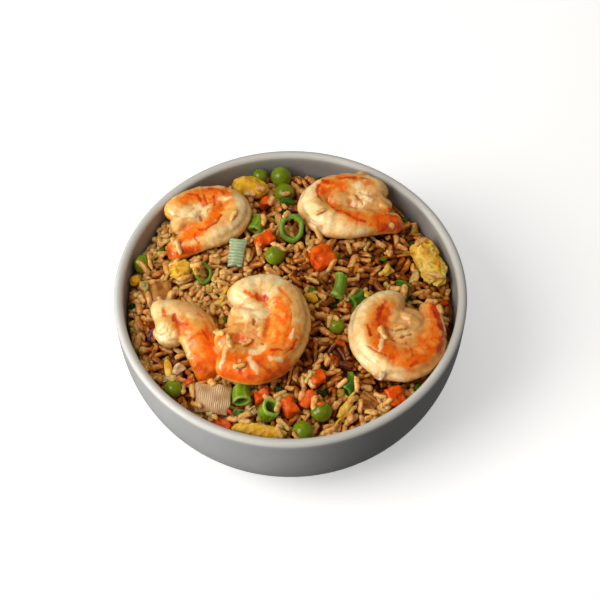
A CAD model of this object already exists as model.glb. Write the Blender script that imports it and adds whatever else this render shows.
"""The looks of a bowl of shrimp fried rice: the glazed bowl, the grains of the heap and each topping."""

import math
from collections import namedtuple

import bpy
import numpy as np
from mathutils import Matrix, Vector, noise
from mathutils.bvhtree import BVHTree


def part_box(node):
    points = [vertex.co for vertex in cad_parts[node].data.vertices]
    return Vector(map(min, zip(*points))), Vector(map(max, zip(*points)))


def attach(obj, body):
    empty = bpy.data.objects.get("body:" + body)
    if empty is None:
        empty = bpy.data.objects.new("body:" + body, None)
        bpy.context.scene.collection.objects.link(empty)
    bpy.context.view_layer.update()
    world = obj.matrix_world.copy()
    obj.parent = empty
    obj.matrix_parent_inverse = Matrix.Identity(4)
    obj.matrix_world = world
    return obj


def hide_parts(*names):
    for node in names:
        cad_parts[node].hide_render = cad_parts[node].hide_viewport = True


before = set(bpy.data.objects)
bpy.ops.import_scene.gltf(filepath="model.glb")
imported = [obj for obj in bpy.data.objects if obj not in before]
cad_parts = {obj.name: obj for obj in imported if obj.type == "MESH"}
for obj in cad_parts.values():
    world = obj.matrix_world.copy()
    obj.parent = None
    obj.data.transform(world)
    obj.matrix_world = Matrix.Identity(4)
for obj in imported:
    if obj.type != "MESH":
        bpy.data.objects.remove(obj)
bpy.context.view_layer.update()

MM = 0.001
ROOT = "root"

# The bowl, as turned in the part
BOWL_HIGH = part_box("bowl")[1]
RIM_RADIUS = BOWL_HIGH.x
BOWL_HEIGHT = BOWL_HIGH.z
WALL = 0.0040
DRAW_IN = 0.0021
DRAW_IN_DEPTH = 0.030
DRAW_IN_POWER = 3.5
OUTER_WALL_DEPTH = 0.048
INNER_WALL_DEPTH = 0.040
FLOOR_HEIGHT = 0.0085
FLOOR_RADIUS = 0.036
FOOT_RADIUS = 0.0425
FOOT_WIDTH = 0.0050
FOOT_HEIGHT = 0.0040
FOOT_ROUNDING = 0.0006
FOOT_RECESS = 0.0026
TURNING_STEPS = 192
INNER_WALL_STEPS = 22
OUTER_WALL_STEPS = 24
TURN_IN_STEPS = 12
FLOOR_STEPS = 4
LIP_STEPS = 14
LIP_FADE = (0.0012, 0.0026)  # the glaze turns from the lip's colour between these depths

# The heap of rice
EDGE_LEVEL = 0.0485
DOME_RISE = 0.0080
RICE_LEAN = 0.0015
COARSE_BUMP = 0.0012
COARSE_SPACING = 0.016
FINE_BUMP = 0.0006
FINE_SPACING = 0.006
INSIDE_RADIUS = RIM_RADIUS - WALL

CELL = 0.0004  # spacing of the height grids in which the grains are laid
LAYER = 0.0042  # the loose grains reach this far down to the core
CORE_SINK = 0.0002  # the core stays this much lower than the first grains
CORE_RINGS = 84
CORE_SPOKES = 220
CORE_ROUGH = 0.0005
CORE_GRAIN = 0.0003
CORE_DEPTH = 0.004  # below its edge, the core follows the bowl
WALL_CLEARANCE = 0.0004

GRAIN_LENGTH = 0.0072
GRAIN_RADIUS = 0.00138
GRAIN_RINGS = 7
GRAIN_AROUND = 8
DROPS = 23500  # grains dropped; most find no room once the heap is full
BROKEN_SHARE = 0.20
UPRIGHT_SHARE = 0.14
TALLEST_OVER_HEAP = 0.0016
CLUMP_RISE = 0.0024
CLUMP_SPACING = 0.0085
TUFT_RISE = 0.0012
TUFT_SPACING = 0.004
UNDER_TOPPINGS = 0.0003  # grains stay this much below what lies over them
LEVEL_REACH = 11  # in cells
TRIES = 14  # places tried for each grain, the emptiest of which is taken
EDGE_MARGIN = 0.0012
NEED_SPREAD = 0.0007
OVERFILL = 0.0012
LENGTH_SPREAD = 0.15
RADIUS_SPREAD = 0.16
RADIUS_LIMITS = (0.65, 1.45)
YAW_SPREAD = 0.50
CARRIED = 0.86  # how much of a grain's length can rest on something
STATIONS = 9  # places along it where it can rest
LYING_TILT = 0.12
LIFT = (0.25, 0.8)  # how steeply grains stand that stand up
RESTS_AT = 0.42  # where strewn grains rest, in lengths from their middle
BROKEN_LENGTH = (0.30, 0.62)  # shares of a whole grain
SWIRL = 5.5  # how strongly neighbouring grains lie alike, in radians
SWIRL_SPACING = 0.011
STEEPEST = 1.1
SUNK = 0.22  # how far a grain sinks into those below, in radii
TEMPLATES = 24
BURIED_STAIN = 330.0  # for each metre below the grains round it
BURIED_REACH = (-0.0014, 0.0028)
SEED = 11
STAIN = 0.57  # of a grain, before the patches, the spread and the browner right side
STAIN_PATCHES = 0.50
STAIN_SPREAD = 0.24
STAIN_ACROSS = 0.30
STREWN_STAIN = (0.10, 0.45)

# The shrimps' bodies, as in the part.
# A shrimp curls along an arc of an ellipse, seen from above, and runs on straight into its tail.
# middle and half are the ellipse's, right and back; turn leans it; start is where on it the head
# lies and sweep how far round the body goes, counter-clockwise above 0; tail is the straight run.
# level is the height over the rim, fall how much that drops for each mm outward in the bowl, and
# drop how much lower the tail ends. Lengths are in mm and angles in degrees.
Curl = namedtuple("Curl", "middle half turn start sweep tail level fall drop")

# name: half thickness across and upright, how much narrower the hind end gets, and the curl
SHRIMPS = {
    "shrimp_back_left": (
        0.0080, 0.0066, 0.48, Curl((-38.5, 36.5), (14, 8.8), 22, 150, -240, 20, -1, 0, 5),
    ),
    "shrimp_back_right": (
        0.0080, 0.0068, 0.46, Curl((26, 43), (15, 9.5), 0, 20, 265, 20, -0.5, 0, 4.5),
    ),
    "shrimp_right": (
        0.0082, 0.0070, 0.46, Curl((45.5, -22.5), (13.5, 13.5), 0, 78, 282, 18, -1.6, 0.1, 2),
    ),
    "shrimp_front": (
        0.0088, 0.0074, 0.20, Curl((-13.5, -22), (18, 13), 75, 64, -244, 12, 2.2, 0.05, -1.6),
    ),
    "shrimp_left": (
        0.0080, 0.0066, 0.10, Curl((-52, -27), (15, 14), 0, 113, -88, 19.2, -2.8, 0.1, 10),
    ),
}

# The opened flesh that fills the inside of each curl, as balls pressed out of round.
# name: for each ball its middle as (right and back of the curl's middle, over the rim) and its
# half sizes, in mm
FLESH = {
    "shrimp_back_left": (((-6, -2, -2.5), (8.5, 6, 6)), ((3.5, 3.5, -1.5), (8, 6, 6))),
    "shrimp_back_right": (((7, 1, -1.5), (12, 5.5, 6)), ((-4.5, 2.5, -1), (8, 6, 6.2))),
    "shrimp_right": (((1.5, 1, -3), (12.5, 13, 6.6)),),
    "shrimp_front": (((0, 2, 0.5), (13, 16.5, 6.8)),),
    "shrimp_left": (((2, 5, -3.5), (6, 5, 5.4)),),
}
SHRIMP_SEGMENTS = 6
SEGMENT_STEP = 0.05
SEGMENTS_FROM = 0.12  # shares of the body's length
SEGMENTS_LENGTH = 0.72
NARROW_FROM = 0.45
NARROW_POWER = 1.3
SLIT_MIDDLE = 0.36
SLIT_REACH = 0.42
SLIT_SIDE = math.radians(28)
SLIT_WIDTH = math.radians(13)
SLIT_DEPTH = 0.12
HEAD_ROUND = 0.10
TAIL_ROUND = 0.06
CENTRELINE_STEPS = 90
ARC_STEPS = 120
TAIL_STEPS = 40
FLESH_GAP = 0.0005
FLESH_PROBE = 0.00025
INWARD_FILL = 0.15
BODY_RINGS = 150
BODY_AROUND = 48
SKIN_VOXEL = 0.00045
SKIN_SMOOTHING = 4
TOPPING_VOXEL = 0.0004


# ---------------------------------------------------------------- meshes


def make_piece(name, points, faces, material, masks=None):
    """A mesh from its points and its faces of equal size, with named values kept at its points."""
    points = np.ascontiguousarray(points, np.float32)
    faces = np.ascontiguousarray(faces, np.int32)
    mesh = bpy.data.meshes.new(name)
    mesh.vertices.add(len(points))
    mesh.vertices.foreach_set("co", points.ravel())
    mesh.loops.add(faces.size)
    mesh.loops.foreach_set("vertex_index", faces.ravel())
    mesh.polygons.add(len(faces))
    mesh.polygons.foreach_set("loop_start", np.arange(0, faces.size, faces.shape[1], dtype=np.int32))
    mesh.polygons.foreach_set("use_smooth", np.ones(len(faces), bool))
    mesh.update(calc_edges=True)
    for key, values in (masks or {}).items():
        attribute = mesh.attributes.new(key, "FLOAT", "POINT")
        attribute.data.foreach_set("value", np.ascontiguousarray(values, np.float32))
    mesh.materials.append(material)
    piece = bpy.data.objects.new(name, mesh)
    bpy.context.scene.collection.objects.link(piece)
    return piece


def add_piece(nodes, name, points, faces, material, masks=None):
    """A piece that rides on the dish, takes its slot's finish and stands for its nodes of the part."""
    piece = make_piece(name, points, faces, material, masks)
    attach(piece, ROOT)
    if nodes:
        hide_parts(*nodes)
    return piece


def shape_of(obj):
    """(points, triangles, normals) of an object's mesh with its modifiers."""
    evaluated = obj.evaluated_get(bpy.context.evaluated_depsgraph_get())
    mesh = evaluated.to_mesh()
    mesh.calc_loop_triangles()

    def read(items, key, kind):
        values = np.empty(len(items) * 3, kind)
        items.foreach_get(key, values)
        return values.reshape(-1, 3)

    points = read(mesh.vertices, "co", np.float32).astype(float)
    normals = read(mesh.vertices, "normal", np.float32).astype(float)
    triangles = read(mesh.loop_triangles, "vertices", np.int32)
    evaluated.to_mesh_clear()
    return points, triangles, normals


def joined(parts):
    """(points, triangles) of several such pairs as one, in plain lists."""
    points, triangles, first = [], [], 0
    for part_points, part_triangles in parts:
        points.append(part_points)
        triangles.append(part_triangles + first)
        first += len(part_points)
    return np.concatenate(points).tolist(), np.concatenate(triangles).tolist()


def reskinned(parts, voxel, smoothing):
    """One closed skin round overlapping closed (points, triangles): (points, triangles, normals)."""
    points, triangles = joined(parts)
    mesh = bpy.data.meshes.new("blank")
    mesh.from_pydata(points, [], triangles)
    blank = bpy.data.objects.new("blank", mesh)
    bpy.context.scene.collection.objects.link(blank)
    skin = blank.modifiers.new("Skin", "REMESH")
    skin.mode = "VOXEL"
    skin.voxel_size = voxel
    skin.adaptivity = 0.0
    soften = blank.modifiers.new("Soften", "SMOOTH")
    soften.factor = 0.5
    soften.iterations = smoothing
    bpy.context.view_layer.update()
    shape = shape_of(blank)
    bpy.data.objects.remove(blank)
    bpy.data.meshes.remove(mesh)
    return shape


def normals_of(points, triangles):
    """Smooth normals at the points of a triangle mesh."""
    a, b, c = (points[triangles[:, k]] for k in range(3))
    flat = np.cross(b - a, c - a)
    normals = np.zeros_like(points)
    for k in range(3):
        np.add.at(normals, triangles[:, k], flat)
    return normals / np.maximum(np.linalg.norm(normals, axis=1, keepdims=True), 1e-20)


def noise_at(points, spacing, seed):
    """Smooth noise, about -0.7 to 0.7, at each point, with features of a given spacing."""
    return np.array([noise.noise(p) for p in (points / spacing + seed).tolist()])


def smooth_step(low, high, values):
    """0 below the low end and 1 above the high end, with a smooth rise between them."""
    t = np.clip((values - low) / (high - low), 0.0, 1.0)
    return t * t * (3 - 2 * t)


def ball(middle, half, turn=0.0, around=28, rings=16):
    """(points, triangles) of a closed ball pressed out of round."""
    theta = np.linspace(0, math.pi, rings + 1)[1:-1]
    phi = np.linspace(0, 2 * math.pi, around, endpoint=False)
    ring = [np.outer(np.sin(theta), np.cos(phi)), np.outer(np.sin(theta), np.sin(phi))]
    ring = np.stack([*ring, np.outer(np.cos(theta), np.ones(around))], axis=-1).reshape(-1, 3)
    points = np.concatenate([[[0, 0, 1.0]], ring, [[0, 0, -1.0]]]) * np.array(half)
    c, s = math.cos(turn), math.sin(turn)
    points = points @ np.array([[c, s, 0], [-s, c, 0], [0, 0, 1]]) + np.array(middle)
    return points, capped_rings(rings - 1, around)


def capped_rings(rings, around):
    """Triangles of a closed skin: a first point, rings of points and a last point."""
    k = np.arange(around)
    nxt = (k + 1) % around
    bands = [np.stack([np.zeros(around, int), 1 + k, 1 + nxt], axis=1)]
    for r in range(rings - 1):
        a, b = 1 + r * around, 1 + (r + 1) * around
        bands.append(np.stack([a + k, b + k, b + nxt], axis=1))
        bands.append(np.stack([a + k, b + nxt, a + nxt], axis=1))
    last_ring = 1 + (rings - 1) * around
    bands.append(np.stack([np.full(around, last_ring + around), last_ring + nxt, last_ring + k], axis=1))
    return np.concatenate(bands)


# ---------------------------------------------------------------- finishes


COAT_ROUGHNESS = 0.11
MIX_INPUTS = (0, 6, 7)  # of a colour mix: the share and the two colours
MIX_RESULT = 2
FINE_SCALE = 4.3  # how much finer the grain of the mottled effect is than its patches
GRAIN_RANGE = (0.3, 0.7)  # what the grain's values mostly lie between


class Wiring:
    """Adds nodes to a shader tree, each with its inputs linked or set."""

    def __init__(self, tree):
        self.tree = tree

    def give(self, node, key, value):
        """Links a socket to an input, or sets a colour or a number there."""
        if isinstance(value, bpy.types.NodeSocket):
            self.tree.links.new(value, node.inputs[key])
        else:
            node.inputs[key].default_value = (*value, 1.0) if isinstance(value, tuple) else value

    def node(self, kind, inputs, operation=None):
        """A node of a kind, with its inputs linked or set."""
        node = self.tree.nodes.new("ShaderNode" + kind)
        if operation:
            node.operation = operation
        for key, value in inputs.items():
            self.give(node, key, value)
        return node

    def worked_out(self, operation, *values):
        """The result of a sum or a product of numbers."""
        return self.node("Math", dict(enumerate(values)), operation).outputs[0]

    def mix(self, share, first, second, blend="MIX"):
        """A share of the second colour in, or added to, the first."""
        node = self.tree.nodes.new("ShaderNodeMix")
        node.data_type = "RGBA"
        node.blend_type = blend
        for key, value in zip(MIX_INPUTS, (share, first, second)):
            self.give(node, key, value)
        return node.outputs[MIX_RESULT]

    def reach(self, value, low, high, out_low=0.0, out_high=1.0, kind="LINEAR"):
        """The value carried from one range to another, held at its ends."""
        ends = {"From Min": low, "From Max": high, "To Min": out_low, "To Max": out_high}
        node = self.node("MapRange", {"Value": value, **ends})
        node.interpolation_type = kind
        return node.outputs["Result"]


MOTTLED_INPUTS = (
    ("Place", "Vector", (0, 0, 0)), ("First", "Color", (1, 1, 1, 1)), ("Second", "Color", (0, 0, 0, 1)),
    ("Patch Scale", "Float", 400.0), ("Patch Share", "Float", 0.5), ("Softness", "Float", 0.2),
    ("Grain", "Float", 0.1),
)


def mottled_effect():
    """A node group: patches of a second colour in a first, with a finer grain in both."""
    tree = bpy.data.node_groups.new("Mottled", "ShaderNodeTree")
    for key, kind, value in MOTTLED_INPUTS:
        socket = tree.interface.new_socket(key, in_out="INPUT", socket_type="NodeSocket" + kind)
        socket.default_value = value
    for key, kind in (("Colour", "Color"), ("Patches", "Float"), ("Grain", "Float")):
        tree.interface.new_socket(key, in_out="OUTPUT", socket_type="NodeSocket" + kind)
    given = tree.nodes.new("NodeGroupInput")
    place, first, second, scale, share, softness, grain = given.outputs[:len(MOTTLED_INPUTS)]
    wiring = Wiring(tree)
    patch = wiring.node("TexNoise", {"Vector": place, "Scale": scale, "Detail": 3.0})
    fine_scale = wiring.worked_out("MULTIPLY", scale, FINE_SCALE)
    fine = wiring.node("TexNoise", {"Vector": place, "Scale": fine_scale, "Detail": 4.0}).outputs["Fac"]
    low = wiring.worked_out("SUBTRACT", share, softness)
    high = wiring.worked_out("ADD", share, softness)
    patches = wiring.reach(patch.outputs["Fac"], low, high, kind="SMOOTHSTEP")
    centred = wiring.worked_out("SUBTRACT", fine, 0.5)
    swing = wiring.worked_out("MULTIPLY_ADD", centred, grain, 1.0)
    colour = wiring.mix(patches, first, second)
    shade = wiring.node("VectorMath", {0: colour, "Scale": swing}, "SCALE")
    out = tree.nodes.new("NodeGroupOutput")
    for key, socket in (("Colour", shade.outputs[0]), ("Patches", patches), ("Grain", fine)):
        tree.links.new(socket, out.inputs[key])
    return tree


MOTTLED = mottled_effect()


class Finish(Wiring):
    """A material and the nodes that lead to its shader."""

    def __init__(self, name, roughness, oil=0.0, glow_depth=0.0, glow_colour=(1.0, 0.4, 0.2), shine=0.25):
        self.material = bpy.data.materials.new(name)
        self.material.use_nodes = True
        super().__init__(self.material.node_tree)
        self.shader = self.tree.nodes["Principled BSDF"]
        given = {
            "Roughness": roughness, "Specular IOR Level": shine, "Coat Weight": oil,
            "Coat Roughness": COAT_ROUGHNESS, "Subsurface Weight": 1.0 if glow_depth else 0.0,
            "Subsurface Radius": glow_colour, "Subsurface Scale": glow_depth,
        }
        for key, value in given.items():
            self.shader.inputs[key].default_value = value

    def value_of(self, key):
        """The values kept at the piece's points under this name."""
        node = self.tree.nodes.new("ShaderNodeAttribute")
        node.attribute_name = key
        return node.outputs["Fac"]

    def place(self):
        """The place on the object, in its own frame."""
        return self.tree.nodes.new("ShaderNodeTexCoord").outputs["Object"]

    def mottled(self, *values):
        """The mottled effect's colour and grain, for its inputs in their order."""
        node = self.tree.nodes.new("ShaderNodeGroup")
        node.node_tree = MOTTLED
        for (key, _, _), value in zip(MOTTLED_INPUTS, values):
            self.give(node, key, value)
        return node.outputs["Colour"], node.outputs["Grain"]

    def finished(self, colour, grain, relief, rough=None):
        """Lays on the colour; the grain gives the relief and, between two ends, the roughness."""
        self.give(self.shader, "Base Color", colour)
        if rough:
            self.give(self.shader, "Roughness", self.reach(grain, *GRAIN_RANGE, *rough))
        bump = self.node("Bump", {"Distance": relief, "Strength": 1.0, "Height": grain})
        self.give(self.shader, "Normal", bump.outputs["Normal"])
        return self.material


def leaf_row(outside, second, inside, rim):
    """What FINISHES holds for a green of the spring onion."""
    look = (0.34, 0.12, 0.0006, (1.0, 1.0, 0.2), 0.18)
    masks = (("stripe", rim), ("inside", inside), ("rim", rim))
    return look, (outside, second, 240, 0.5, 0.22, 0.25), masks, 0.00008


def layer_row(first, second, rib):
    """What FINISHES holds for a layer of onion."""
    look = (0.30, 0.3, 0.0012, (1.0, 0.7, 0.45))
    return look, (first, second, 260, 0.5, 0.22, 0.2), (("rib", rib),), 0.00008


# name: roughness, oil, depth and colour of the glow and shine; the two colours of the patches, their
# scale, share and softness and the grain; the masks that lay other colours on; the relief in
# metres; and, where it varies, the roughness from low to high
FINISHES = {
    "glazed_stoneware": (
        (0.42,), ((0.36, 0.36, 0.357), (0.335, 0.335, 0.33), 60, 0.5, 0.25, 0.10),
        (("lip", (0.54, 0.525, 0.485)),), 0.00005, (0.36, 0.48),
    ),
    "sauced_core": (
        (0.38, 0.2), ((0.26, 0.100, 0.008), (0.13, 0.042, 0.004), 300, 0.5, 0.15, 0.4), (), 0.0003,
    ),
    "pea_skin": (
        (0.26, 0.35, 0.0010, (0.5, 1.0, 0.2)),
        ((0.225, 0.29, 0.007), (0.14, 0.19, 0.004), 260, 0.5, 0.25, 0.18),
        (("seam", (0.40, 0.58, 0.14)),), 0.00006,
    ),
    "diced_carrot": (
        (0.38, 0.12, 0.0012, (1.0, 0.3, 0.08)),
        ((0.84, 0.135, 0.001), (0.70, 0.075, 0.001), 330, 0.52, 0.2, 0.30),
        (("dull", (0.42, 0.075, 0.012)), ("edge", (0.86, 0.24, 0.02))), 0.00012,
    ),
    "fried_egg": (
        (0.5, 0.05, 0.0011, (1.0, 0.6, 0.1), 0.12),
        ((0.78, 0.43, 0.005), (0.60, 0.26, 0.002), 330, 0.5, 0.2, 0.22),
        (("pale", (0.93, 0.74, 0.20)), ("browned", (0.50, 0.22, 0.03))), 0.0002,
    ),
    "scallion_bright": leaf_row(
        (0.21, 0.33, 0.006), (0.115, 0.205, 0.004), (0.22, 0.36, 0.03), (0.40, 0.54, 0.11),
    ),
    "scallion_dark": leaf_row(
        (0.052, 0.145, 0.006), (0.024, 0.075, 0.004), (0.11, 0.21, 0.015), (0.18, 0.32, 0.03),
    ),
    "soft_onion": layer_row((0.58, 0.36, 0.16), (0.44, 0.23, 0.08), (0.86, 0.70, 0.46)),
    "pale_leek": layer_row((0.38, 0.46, 0.27), (0.28, 0.37, 0.20), (0.66, 0.70, 0.50)),
    "amber_onion": layer_row((0.52, 0.22, 0.035), (0.26, 0.08, 0.010), (0.60, 0.32, 0.08)),
    "red_onion": layer_row((0.20, 0.06, 0.10), (0.10, 0.03, 0.05), (0.30, 0.12, 0.16)),
}


def finish_of(name, look, patches, masks, relief, rough=None):
    """The material that a row of FINISHES describes."""
    finish = Finish(name, *look)
    colour, grain = finish.mottled(finish.place(), *patches)
    for mask, laid_on in masks:
        colour = finish.mix(finish.value_of(mask), colour, laid_on)
    return finish.finished(colour, grain, relief, rough)


LOOKS = {name: finish_of(name, *row) for name, row in FINISHES.items()}

RICE_PALE = (0.93, 0.480, 0.150)
RICE_GOLD = (0.50, 0.152, 0.006)
RICE_BROWN = (0.13, 0.024, 0.0015)


def grain_finish(name):
    """Cooked rice: a pale grain stained gold and then brown by sauce, the deeper the more."""
    finish = Finish(name, 0.4, 0.16, 0.0028, (1.0, 0.60, 0.28), 0.35)
    stain = finish.value_of("stain")
    golden = finish.mix(finish.reach(stain, 0.0, 0.5), RICE_PALE, RICE_GOLD)
    stained = finish.mix(finish.reach(stain, 0.5, 1.0), golden, RICE_BROWN)
    deep = finish.mix(0.45, stained, RICE_BROWN)
    colour, grain = finish.mottled(finish.place(), stained, deep, 620, 0.55, 0.16, 0.30)
    return finish.finished(colour, grain, 0.0001, (0.28, 0.50))


# What a shrimp is painted with: kind and its two colours
PAINTS = {
    "flesh": ((0.80, 0.48, 0.17), (0.70, 0.33, 0.08)),
    "gold": ((0.86, 0.45, 0.075), (0.76, 0.31, 0.025)),
    "cream": ((0.91, 0.74, 0.43), (0.85, 0.59, 0.24)),
    "orange": ((0.92, 0.212, 0.001), (0.80, 0.094, 0.001)),
    "peach": ((0.88, 0.44, 0.11), (0.84, 0.31, 0.04)),
    "red": ((0.66, 0.050, 0.004), (0.46, 0.020, 0.003)),
    "brown": ((0.36, 0.13, 0.03), (0.22, 0.07, 0.02)),
}


def shrimp_finish():
    """Cooked shrimp: the paints, each as strong as the points' values say."""
    finish = Finish("cooked_shrimp", 0.30, 0.50, 0.0014, (1.0, 0.45, 0.20))
    place = finish.place()
    colour, blend = (0.0, 0.0, 0.0), "MIX"
    for kind, (first, second) in PAINTS.items():
        tone, grain = finish.mottled(place, first, second, 330, 0.52, 0.20, 0.14)
        colour = finish.mix(finish.value_of(kind), colour, tone, blend)
        blend = "ADD"
    return finish.finished(colour, grain, 0.00009, (0.26, 0.44))


# ---------------------------------------------------------------- the bowl


def wall_radius(depth, rim_radius):
    """The radius of the wall's inner or outer side at a depth below the rim."""
    return rim_radius - DRAW_IN * (max(depth, 0.0) / DRAW_IN_DEPTH) ** DRAW_IN_POWER


def inside_radius_at(z):
    """The bowl's inner radius at a height on its wall."""
    return wall_radius(BOWL_HEIGHT - z, INSIDE_RADIUS)


def wall_points(rim_radius, from_depth, to_depth, steps):
    """Points down one side of the wall: (radius, height) for each."""
    depths = np.linspace(from_depth, to_depth, steps + 1)
    return [(wall_radius(d, rim_radius), BOWL_HEIGHT - d) for d in depths]


def turn_in(rim_radius, depth, level, end_radius):
    """Points that carry on from the wall at a depth, along its slope, into a level floor."""
    start = np.array((wall_radius(depth, rim_radius), BOWL_HEIGHT - depth))
    slope = DRAW_IN * DRAW_IN_POWER / DRAW_IN_DEPTH * (depth / DRAW_IN_DEPTH) ** (DRAW_IN_POWER - 1)
    control = np.array((start[0] - slope * (start[1] - level), level))
    end = np.array((end_radius, level))
    shares = [i / TURN_IN_STEPS for i in range(1, TURN_IN_STEPS + 1)]
    return [tuple(start * (1 - t) ** 2 + control * 2 * t * (1 - t) + end * t ** 2) for t in shares]


def inner_profile(clearance=0.0):
    """The inside of the bowl from the middle of the floor up to the lip, moved in by a clearance."""
    down = wall_points(INSIDE_RADIUS, WALL / 2, INNER_WALL_DEPTH, INNER_WALL_STEPS)
    down += turn_in(INSIDE_RADIUS, INNER_WALL_DEPTH, FLOOR_HEIGHT, FLOOR_RADIUS)
    floor = [(FLOOR_RADIUS * k / FLOOR_STEPS, FLOOR_HEIGHT + clearance) for k in range(FLOOR_STEPS)]
    return floor + [(r - clearance, z + clearance) for r, z in reversed(down)]


def bowl_profile():
    """The whole outline, from the middle of the floor over the lip and down to the middle of the foot."""
    profile = inner_profile()
    middle = (RIM_RADIUS - WALL / 2, BOWL_HEIGHT - WALL / 2)
    for i in range(1, LIP_STEPS):
        angle = math.pi * (1 - i / LIP_STEPS)
        profile.append((middle[0] + math.cos(angle) * WALL / 2, middle[1] + math.sin(angle) * WALL / 2))
    profile += wall_points(RIM_RADIUS, WALL / 2, OUTER_WALL_DEPTH, OUTER_WALL_STEPS)
    profile += turn_in(RIM_RADIUS, OUTER_WALL_DEPTH, FOOT_HEIGHT, FOOT_RADIUS)
    soft, inner = FOOT_ROUNDING, FOOT_RADIUS - FOOT_WIDTH
    profile += [(FOOT_RADIUS, FOOT_HEIGHT * 0.6), (FOOT_RADIUS, soft * 1.4)]
    profile += [(FOOT_RADIUS - soft * 0.3, soft * 0.3), (FOOT_RADIUS - soft * 1.4, 0.0), (inner + soft, 0.0)]
    profile += [(inner, soft * 0.5), (inner - soft, FOOT_RECESS * 0.8), (inner - soft * 2.5, FOOT_RECESS)]
    profile += [(inner / 2, FOOT_RECESS), (0.0, FOOT_RECESS)]
    return profile


def ring_at(radius, z, angles):
    """Points round the upright axis, all at one height or each at its own."""
    x, y = radius * np.cos(angles), radius * np.sin(angles)
    return np.stack([x, y, np.broadcast_to(z, x.shape)], axis=1)


def build_bowl():
    """The outline turned about the upright axis, with a warmer lip."""
    angles = np.linspace(0, 2 * math.pi, TURNING_STEPS, endpoint=False)
    (_, first), *profile, (_, last) = bowl_profile()
    rings = [ring_at(r, z, angles) for r, z in profile]
    points = np.concatenate([[[0.0, 0.0, first]], *rings, [[0.0, 0.0, last]]])
    faces = capped_rings(len(rings), TURNING_STEPS)
    lip = 1 - smooth_step(*LIP_FADE, BOWL_HEIGHT - points[:, 2])
    look = LOOKS["glazed_stoneware"]
    add_piece(["bowl"], "stoneware_bowl", points, faces, look, {"lip": lip})


# ---------------------------------------------------------------- shrimps


def curl_line(curl):
    """Fine points along a curl, from the head end to the tail's tip."""
    lean = math.radians(curl.turn)
    angles = np.radians(curl.start + curl.sweep * np.linspace(0, 1, ARC_STEPS + 1))
    long_way, short_way = curl.half[0] * np.cos(angles), curl.half[1] * np.sin(angles)
    arc = np.stack([
        curl.middle[0] + long_way * math.cos(lean) - short_way * math.sin(lean),
        curl.middle[1] + long_way * math.sin(lean) + short_way * math.cos(lean),
    ], axis=1)
    onward = (arc[-1] - arc[-2]) / np.linalg.norm(arc[-1] - arc[-2])
    hind = np.linspace(0, 1, TAIL_STEPS + 1)[1:]
    flat = np.concatenate([arc, arc[-1] + onward * curl.tail * hind[:, None]])
    hind = np.concatenate([np.zeros(ARC_STEPS + 1), hind])
    outward = np.linalg.norm(flat, axis=1) - math.hypot(*curl.middle)
    rise = curl.level - curl.fall * outward - curl.drop * hind ** 1.5
    return np.column_stack([flat, rise]) * MM + np.array((0.0, 0.0, BOWL_HEIGHT))


def centreline(curl):
    """(points, outward directions, length) at even steps along a curl, seen from above."""
    fine = curl_line(curl)
    along = np.concatenate([[0.0], np.cumsum(np.linalg.norm(np.diff(fine, axis=0), axis=1))])
    wanted = np.linspace(0, along[-1], CENTRELINE_STEPS + 1)
    points = np.stack([np.interp(wanted, along, fine[:, k]) for k in range(3)], axis=1)
    steps = np.arange(CENTRELINE_STEPS + 1)
    ahead = points[np.minimum(steps + 2, CENTRELINE_STEPS)] - points[np.maximum(steps - 2, 0)]
    sideways = np.stack([ahead[:, 1], -ahead[:, 0], np.zeros(len(ahead))], axis=1)
    sideways /= np.linalg.norm(sideways, axis=1, keepdims=True)
    outside = ((points - points.mean(axis=0)) * sideways).sum()
    return points, sideways * math.copysign(1.0, outside), along[-1]


def free_reach(points, i, direction, wanted):
    """How far flesh reaches from the centreline before it meets flesh from elsewhere on it."""
    reach = FLESH_PROBE
    while reach < wanted:
        tip = (points[i] + direction * reach)[:2]
        near = np.linalg.norm(points[:, :2] - tip, axis=1).min()
        if near < reach * 0.999 - 0.00001:
            return reach - FLESH_PROBE
        reach += FLESH_PROBE
    return wanted


def evened(values):
    """The least values round each place, smoothed."""
    lowest = [min(values[max(i - 2, 0):i + 3]) for i in range(len(values))]
    return np.array([np.mean(lowest[max(i - 2, 0):i + 3]) for i in range(len(lowest))])


def end_round(share, length, power):
    """How much of the width is left near an end that is rounded over a length."""
    rest = 1 - np.minimum(share / length, 1.0)
    return (1 - rest ** power) ** (1 / power)


def narrowed(u, hind):
    """How much of its width the body keeps at a share of its length."""
    return 1.0 - hind * np.maximum(0.0, (u - NARROW_FROM) / (1 - NARROW_FROM)) ** NARROW_POWER


def body_size(u, hind):
    return narrowed(u, hind) * end_round(u, HEAD_ROUND, 2.4) * end_round(1 - u, TAIL_ROUND, 2.2)


def segment_step(u):
    """The small step outward at the end of each of the body's segments."""
    place = (u - SEGMENTS_FROM) / SEGMENTS_LENGTH * SHRIMP_SEGMENTS
    inside = (place >= 0) & (place <= SHRIMP_SEGMENTS)
    return np.where(inside, SEGMENT_STEP * ((place % 1.0) - 0.5), 0.0)


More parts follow.
